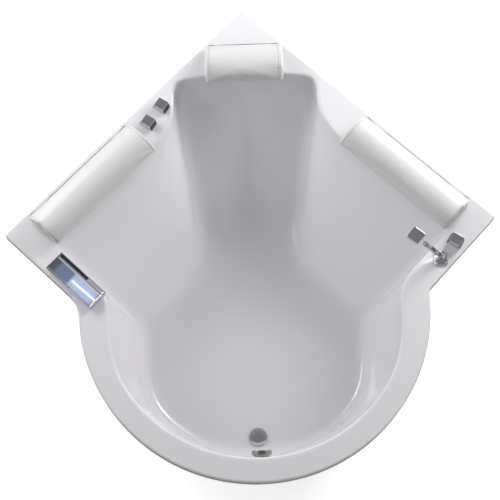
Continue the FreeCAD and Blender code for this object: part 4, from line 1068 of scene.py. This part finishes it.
@dataclass
class HolderScrews:
    """The four screws that hold the shower's plate to the deck."""

    spread: Pair = (0.0180, 0.0205)
    plate_half: float = 0.028
    plate: float = 0.008
    radius: float = 0.0034
    flat: float = 0.45

    def build(self) -> None:
        """Puts a domed head at each corner of the plate."""
        low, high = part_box("shower_holder")
        tub_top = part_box("tub_shell")[1].z
        middle = ((low.x + high.x) / 2.0, low.y + self.plate_half)
        spots = [(middle[0] + a * self.spread[0], middle[1] + b * self.spread[1], tub_top + self.plate)
                 for a in (-1, 1) for b in (-1, 1)]
        maker = Maker("holder_screws", {"Radius": self.radius, "Flat": self.flat})
        head = maker.node("MeshUVSphere", {}, {"Segments": 20, "Rings": 12, "Radius": maker.size("Radius")})
        scale = maker.node("ShaderNodeCombineXYZ", {}, {"X": 1.0, "Y": 1.0, "Z": maker.size("Flat")})
        heads = maker.put(head, maker.size("Geometry"), Scale=scale.outputs[0])
        screws = maker.run("holder_screws", mesh_from("screw_spots", spots), heads, Finishes.CHROME)
        fix_piece(screws, "tub", "chrome")


# ---- pillows ------------------------------------------------------------------------------------------
CLOTH = {"quality": 4, "mass": 0.3, "use_pressure": True, "tension_stiffness": 12.0,
         "compression_stiffness": 12.0, "bending_stiffness": 0.8, "vertex_group_mass": "base"}


@dataclass
class Pillow:
    """A padded head roll of white vinyl that lies on the deck and hangs over the basin's edge."""

    name: str
    node: str
    along: Vector
    out: Vector
    seams: tuple[float, ...] = (0.014,)
    voxel: float = 0.006
    easing: float = 0.5
    easing_rounds: int = 7
    shrink: float = 0.0045
    pressure: float = 4.0
    frames: int = 20
    swell: float = 0.007
    foot: float = 0.0015
    groove: float = 0.0016
    groove_reach: float = 0.004
    pucker: float = 0.0005
    pucker_reach: float = 0.022
    pucker_count: int = 26
    pucker_shift: float = 300.0
    pucker_sway: Pair = (2.0, 3.0)
    piping: float = 0.0022
    # radius, height share and points of the dark cord along the back, whose dark colour is painted shade
    closing: float = 0.0016
    closing_share: float = 0.42
    closing_points: int = 60
    stitch_gap: float = 0.0055
    stitch_pitch: float = 0.0048
    thread: float = 0.0005
    stitch_stretch: float = 3.4
    fill: float = 0.8

    def start_mesh(self) -> Mesh:
        """The CAD solid, remeshed evenly, eased and drawn in a little."""
        return modified(
            merged(self.node),
            ("REMESH", {"mode": "VOXEL", "voxel_size": self.voxel}),
            ("SMOOTH", {"factor": self.easing, "iterations": self.easing_rounds}),
            ("DISPLACE", {"strength": -self.shrink, "mid_level": 0.0}))

    def swollen(self, mesh: Mesh) -> Points:
        """The points after the vinyl is blown out by its filling, no further than swell."""
        rest = read_points(mesh)
        carrier = linked(self.name + "_cloth", mesh)
        floor = rest[:, 2].min()
        base = [int(i) for i in np.nonzero(rest[:, 2] < floor + self.foot)[0]]
        carrier.vertex_groups.new(name="base").add(base, 1.0, "REPLACE")
        cloth = carrier.modifiers.new("cloth", "CLOTH")
        settings = cloth.settings
        for key, value in CLOTH.items():
            setattr(settings, key, value)
        settings.uniform_pressure_force = self.pressure
        settings.effector_weights.gravity = 0.0
        cloth.point_cache.frame_start = 1
        cloth.point_cache.frame_end = self.frames
        scene = bpy.context.scene
        for step in range(1, self.frames + 1):
            scene.frame_set(step)
        moved = read_points(settled(carrier))
        scene.frame_set(1)
        shift = moved - rest
        size = np.linalg.norm(shift, axis=1, keepdims=True)
        return rest + shift * np.minimum(1.0, self.swell / np.maximum(size, 1e-9))

    def seam_places(self, points: Points) -> list[float]:
        """Where the piped seams cross the roll, along its axis."""
        stations = points @ np.array(self.along)
        return [stations.min() + s for s in self.seams] + [stations.max() - s for s in self.seams]

    def sew(self, mesh: Mesh, points: Points) -> Points:
        """Pulls the vinyl in at the seams and gathers it beside them."""
        mesh.vertices.foreach_set("co", points.ravel())
        mesh.update()
        normals = np.empty(len(mesh.vertices) * 3)
        mesh.vertices.foreach_get("normal", normals)
        normals = normals.reshape(-1, 3)
        stations = points @ np.array(self.along)
        middle = points.mean(axis=0)
        turn = np.arctan2(points[:, 2] - middle[2], (points - middle) @ np.array(self.out))
        pull = np.zeros(len(points))
        for place in self.seam_places(points):
            away = np.abs(stations - place)
            pull += self.groove * np.exp(-(away / self.groove_reach) ** 2)
            sway = self.pucker_sway[0] * np.sin(turn * self.pucker_sway[1])
            wave = np.sin(turn * self.pucker_count + place * self.pucker_shift + sway)
            pull += self.pucker * wave * np.exp(-away / self.pucker_reach)
        lifted = points[:, 2:3] > points[:, 2].min() + self.foot
        return points - normals * pull[:, None] * lifted

    def loop_at(self, mesh: Mesh, place: float) -> Points:
        """The closed line where a plane across the roll meets its skin, in order."""
        cut = bmesh.new()
        cut.from_mesh(mesh)
        everything = cut.verts[:] + cut.edges[:] + cut.faces[:]
        found = bmesh.ops.bisect_plane(
            cut, geom=everything, plane_co=self.along * place, plane_no=self.along)
        spots = np.array([v.co[:] for v in found["geom_cut"] if isinstance(v, bmesh.types.BMVert)])
        cut.free()
        middle = (spots.max(axis=0) + spots.min(axis=0)) / 2.0
        turn = np.arctan2(spots[:, 2] - middle[2], (spots - middle) @ np.array(self.out))
        return spots[np.argsort(turn)]

    def trimmings(self, mesh: Mesh) -> list[Object]:
        """The piping in the seams, the stitches beside it, and the dark cord along the back, which is
        painted shade.
        """
        places = self.seam_places(read_points(mesh))
        pipes = loops_mesh(self.name + "_seams", [self.loop_at(mesh, place) for place in places])
        half = len(places) // 2
        rows = [place + (self.stitch_gap if index < half else -self.stitch_gap)
                for index, place in enumerate(places)]
        stitches = loops_mesh(self.name + "_rows", [self.loop_at(mesh, place) for place in rows])
        piping = self.cord(self.name + "_piping", pipes, self.piping, Finishes.PIPING)
        # the dark cord along the roll's back is painted shade: the thin shadow line between pillow and deck
        closing = loops_mesh(self.name + "_closing", [self.closing_line(mesh)], False)
        shade_seam = self.cord(self.name + "_closing_seam", closing, self.closing, Finishes.WELT)
        sewing = Maker("stitches", {"Pitch": self.stitch_pitch, "Thread": self.thread})
        thread = sewing.node("MeshUVSphere", {}, {
            "Segments": 6, "Rings": 4, "Radius": sewing.size("Thread")})
        spots = sewing.spots()
        placed = sewing.put(thread, spots.outputs["Points"], Rotation=spots.outputs["Rotation"],
                            Scale=(1.0, 1.0, self.stitch_stretch))
        sewn = sewing.run(self.name + "_stitches", stitches, placed, Finishes.PIPING)
        return [piping, shade_seam, sewn]

    def closing_line(self, mesh: Mesh) -> Points:
        """The open line along the roll's back, part way up, where the dark cord of painted shade runs."""
        points = read_points(mesh)
        along, out, up = np.array(self.along), np.array(self.out), np.array([0.0, 0.0, 1.0])
        stations, depth = points @ along, points @ out
        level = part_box("tub_shell")[1].z
        middle = level + (points[:, 2].max() - level) * self.closing_share
        band = np.abs(points[:, 2] - middle) < self.voxel
        ends = stations.min() + self.seams[0], stations.max() - self.seams[0]
        line = []
        for place in np.linspace(*ends, self.closing_points):
            near = band & (np.abs(stations - place) < self.voxel)
            line.append(along * place + out * depth[near].min() + up * middle)
        return np.array(line)

    def cord(self, name: str, guide: Mesh, radius: float, finish: Finishes) -> Object:
        """A round cord along the lines of a guide mesh, closed at the ends of an open line."""
        tube = Maker("piping", {"Radius": radius})
        even = tube.node("ResampleCurve", {"mode": "LENGTH"}, {"Curve": tube.line(), "Length": self.voxel})
        ring = tube.node("CurvePrimitiveCircle", {}, {"Resolution": 8, "Radius": tube.size("Radius")})
        pipe = tube.node("CurveToMesh", {}, {
            "Curve": even.outputs[0], "Profile Curve": ring.outputs[0], "Fill Caps": True})
        return tube.run(name, guide, pipe.outputs[0], finish)

    def roll(self) -> Mesh:
        """The finished skin."""
        mesh = self.start_mesh()
        points = self.swollen(mesh.copy())
        mesh.vertices.foreach_set("co", self.sew(mesh, points).ravel())
        mesh.update()
        return modified(mesh, ("SUBSURF", {"levels": 1, "render_levels": 1}))

    def dress(self, mesh: Mesh) -> list[Object]:
        skin = fix_piece(new_object(self.name, mesh, Finishes.VINYL), "tub", "cushion", self.node)
        extra = [fix_piece(piece, "tub", "cushion") for piece in self.trimmings(mesh)]
        return [skin] + extra


def loops_mesh(name: str, loops: Sequence[Points], closed: bool = True) -> Mesh:
    """A mesh of lines, closed or open."""
    points, edges = [], []
    for loop in loops:
        first = len(points)
        points.extend(tuple(p) for p in loop)
        links = len(loop) if closed else len(loop) - 1
        edges.extend((first + i, first + (i + 1) % len(loop)) for i in range(links))
    return mesh_from(name, points, (), edges)


def mirrored(mesh: Mesh, name: str) -> Mesh:
    """A copy of a mesh on the other side of the YZ plane, with its faces outwards."""
    result = bpy.data.meshes.new(name)
    with edited(mesh, result) as other:
        bmesh.ops.scale(other, vec=(-1.0, 1.0, 1.0), verts=other.verts)
        bmesh.ops.reverse_faces(other, faces=other.faces)
    return result


def make_pillows() -> None:
    """The back pillow, the left pillow, and the right one as the left one's mirror image."""
    back = Pillow("pillow_back_roll", "pillow_back", Vector((1, 0, 0)), Vector((0, -1, 0)), (0.020,))
    back.dress(back.roll())
    rising, falling = Vector((1, 1, 0)) / ROOT2, Vector((1, -1, 0)) / ROOT2
    left = Pillow("pillow_left_roll", "pillow_left", -rising, falling)
    skin = left.roll()
    left.dress(skin)
    right = Pillow("pillow_right_roll", "pillow_right", falling, -rising)
    right.dress(mirrored(skin, right.name))


# ---- the studio ---------------------------------------------------------------------------------------
def around(azimuth: float, elevation: float, distance: float) -> Point:
    """A place round the tub's middle; azimuth turns from +Y towards +X, in degrees."""
    turn, rise = math.radians(azimuth), math.radians(elevation)
    level = distance * math.cos(rise)
    return (level * math.sin(turn), level * math.cos(turn), distance * math.sin(rise) + AIM[2])


@dataclass(frozen=True)
class Lamp:
    """One soft box: its place, size and power in watts, and whether mirrors show it.

    One with a turn hangs level, turned by that many degrees; the others face the tub's middle.
    """

    name: str
    place: Point
    power: float
    size: Pair
    mirrored: bool = True
    colour: Colour = (1.0, 1.0, 1.0)
    turn: float | None = None


@dataclass
class Studio:
    """Camera, floor, world and lamps."""

    focal_pixels: float = 1102.03
    frame_pixels: float = 500.0
    sensor: float = 36.0
    camera_place: Point = (-0.12224, -1.50115, 4.68112)
    camera_right: Point = (0.99894, -0.04446, 0.01206)
    camera_up: Point = (0.03808, 0.94418, 0.32722)
    camera_view: Point = (0.02594, 0.32641, -0.94487)
    floor_half: float = 12.0
    floor_glow: float = 0.58
    reflected_glow: Colour = (0.06, 0.058, 0.052)
    reflected_floor: Colour = (0.22, 0.21, 0.195)
    floor_colour: Colour = (0.80, 0.80, 0.80)
    floor_roughness: float = 0.9
    ambient: float = 0.035
    level: float = 0.99
    far_clip: float = 100.0
    mirrored_sky: tuple[tuple[float, Colour], ...] = (
        (0.0, (1.0, 1.0, 1.0)), (0.45, (0.95, 0.95, 0.96)), (0.75, (0.36, 0.36, 0.38)),
        (0.93, (0.24, 0.235, 0.235)))
    lamps: tuple[Lamp, ...] = (
        Lamp("key", around(45, 30, 4.0), 42.0, (2.2, 2.2), True, (1.0, 0.99, 0.975)),
        Lamp("glint", around(45, 30, 3.95), 38.0, (1.0, 1.0)),
        Lamp("corner", (1.1, 2.3, 1.9), 10.0, (1.0, 1.0), False),
        Lamp("corner_left", (-1.2, 2.2, 1.9), 14.0, (1.0, 1.0), False),
        Lamp("right_side", (2.1, 1.2, 1.6), 33.0, (1.2, 1.2), False),
        Lamp("left_side", (-2.1, 1.2, 1.6), 32.0, (1.2, 1.2)),
        Lamp("left_far", around(270, 34, 4.0), 24.0, (1.8, 1.8), False, (0.98, 0.99, 1.0)),
        Lamp("back_left", around(315, 30, 4.0), 16.0, (1.6, 1.6)),
        Lamp("front", around(180, 45, 4.0), 24.0, (3.0, 2.0), False),
        Lamp("front_right", around(135, 35, 4.0), 17.0, (2.0, 2.0), False),
        Lamp("front_left", around(225, 32, 4.0), 6.0, (2.0, 2.0), False),
        Lamp("window", (-0.972, 0.518, 3.0), 0.072, (0.20, 0.13), True, (0.82, 0.88, 1.0), -44.3),
        Lamp("window_haze", (-1.020, 0.565, 3.01), 0.036, (0.30, 0.14), True, (0.70, 0.79, 1.0), -44.3),
        Lamp("window_bar", (-0.9695, 0.500, 2.99), 0.016, (0.203, 0.009), True, (1.0, 1.0, 1.0), -43.6),
    )

    def camera(self) -> None:
        """Stands the camera where the photograph was taken from."""
        data = bpy.data.cameras.new("camera")
        data.sensor_width = self.sensor
        data.lens = self.sensor * self.focal_pixels / self.frame_pixels
        data.clip_end = self.far_clip
        camera = linked("camera", data)
        axes = Matrix([self.camera_right, self.camera_up, [-c for c in self.camera_view]]).transposed()
        camera.matrix_world = Matrix.Translation(self.camera_place) @ axes.to_4x4()
        bpy.context.scene.camera = camera

    def floor(self) -> None:
        """A plain pale floor that the camera sees as white where it is lit."""
        size = self.floor_half
        corners = [(-size, -size, 0.0), (size, -size, 0.0), (size, size, 0.0), (-size, size, 0.0)]
        mesh = mesh_from("floor", np.array(corners), [(0, 1, 2, 3)])
        material = bpy.data.materials.new("pale_floor")
        material.use_nodes = True
        graph = Graph(material.node_tree)
        shader = material.node_tree.nodes["Principled BSDF"]
        path = graph.node("LightPath")
        seen, reflected = graph.out(path, "Is Camera Ray"), graph.out(path, "Is Glossy Ray")
        glow = graph.mix(reflected, (0.0, 0.0, 0.0), self.reflected_glow)
        glow = graph.mix(seen, glow, (self.floor_glow,) * 3)
        base = graph.mix(reflected, self.floor_colour, self.reflected_floor)
        for key, value in {"Base Color": base, "Roughness": self.floor_roughness, "Specular IOR Level": 0.0,
                           "Emission Color": glow, "Emission Strength": 1.0}.items():
            graph.feed(shader.inputs[key], value)
        mesh.materials.append(material)
        linked("floor", mesh)

    def world(self) -> None:
        """A little even light, a white backdrop, and for mirrors a studio that is darker overhead."""
        world = bpy.data.worlds.new("studio")
        bpy.context.scene.world = world
        world.use_nodes = True
        graph = Graph(world.node_tree)
        background = world.node_tree.nodes["Background"]
        path = graph.node("LightPath")
        direction = graph.out(graph.node("TexCoord"), "Generated")
        height = graph.out(graph.node("SeparateXYZ", {}, {0: direction}), "Z")
        mirrored = graph.ramp(height, self.mirrored_sky)
        ambient = graph.mix(graph.out(path, "Is Glossy Ray"), (self.ambient,) * 3, mirrored)
        colour = graph.mix(graph.out(path, "Is Camera Ray"), ambient, (1.0, 1.0, 1.0))
        graph.feed(background.inputs["Color"], colour)

    def hang(self, lamp: Lamp) -> None:
        """Hangs one soft box, which no camera sees."""
        data = bpy.data.lights.new(lamp.name, "AREA")
        data.shape = "RECTANGLE"
        data.size, data.size_y = lamp.size
        data.energy = lamp.power * self.level
        data.color = lamp.colour
        hung = linked(lamp.name, data)
        hung.location = lamp.place
        if lamp.turn is None:
            hung.rotation_mode = "QUATERNION"
            hung.rotation_quaternion = (Vector(AIM) - Vector(lamp.place)).to_track_quat("-Z", "Y")
        else:
            hung.rotation_euler = (0.0, 0.0, math.radians(lamp.turn))
        hung.visible_camera = False
        hung.visible_glossy = lamp.mirrored

    def build(self) -> None:
        """Sets everything up."""
        self.camera()
        self.floor()
        self.world()
        for lamp in self.lamps:
            self.hang(lamp)
        bpy.context.scene.view_settings.view_transform = "Standard"


def carry_over() -> None:
    """Gives every CAD node that still shows the finish of its slot."""
    for part in frame["record"]["subparts"]:
        node = frame["nodes"][part["node"]]
        if node.hide_render:
            continue
        finish = NODE_FINISH.get(part["node"], SLOT_FINISH[part["material_slot"]])
        node.data.materials.clear()
        node.data.materials.append(finish.material)
        LOG.info("node %s keeps its shape, in %s", part["node"], finish.name)


def main() -> None:
    """Builds the studio and every sub-assembly in order."""
    logging.basicConfig(level=logging.INFO, format="%(message)s")
    Studio().build()
    tub = TubShell()
    tub.build()
    Filler(tub).build()
    for name in ("hot", "cold", "diverter"):
        KnobShadeGrips(name + "_handle", name + "_knob").build()
    HolderScrews().build()
    make_pillows()
    carry_over()


if __name__ == "__main__":
    main()
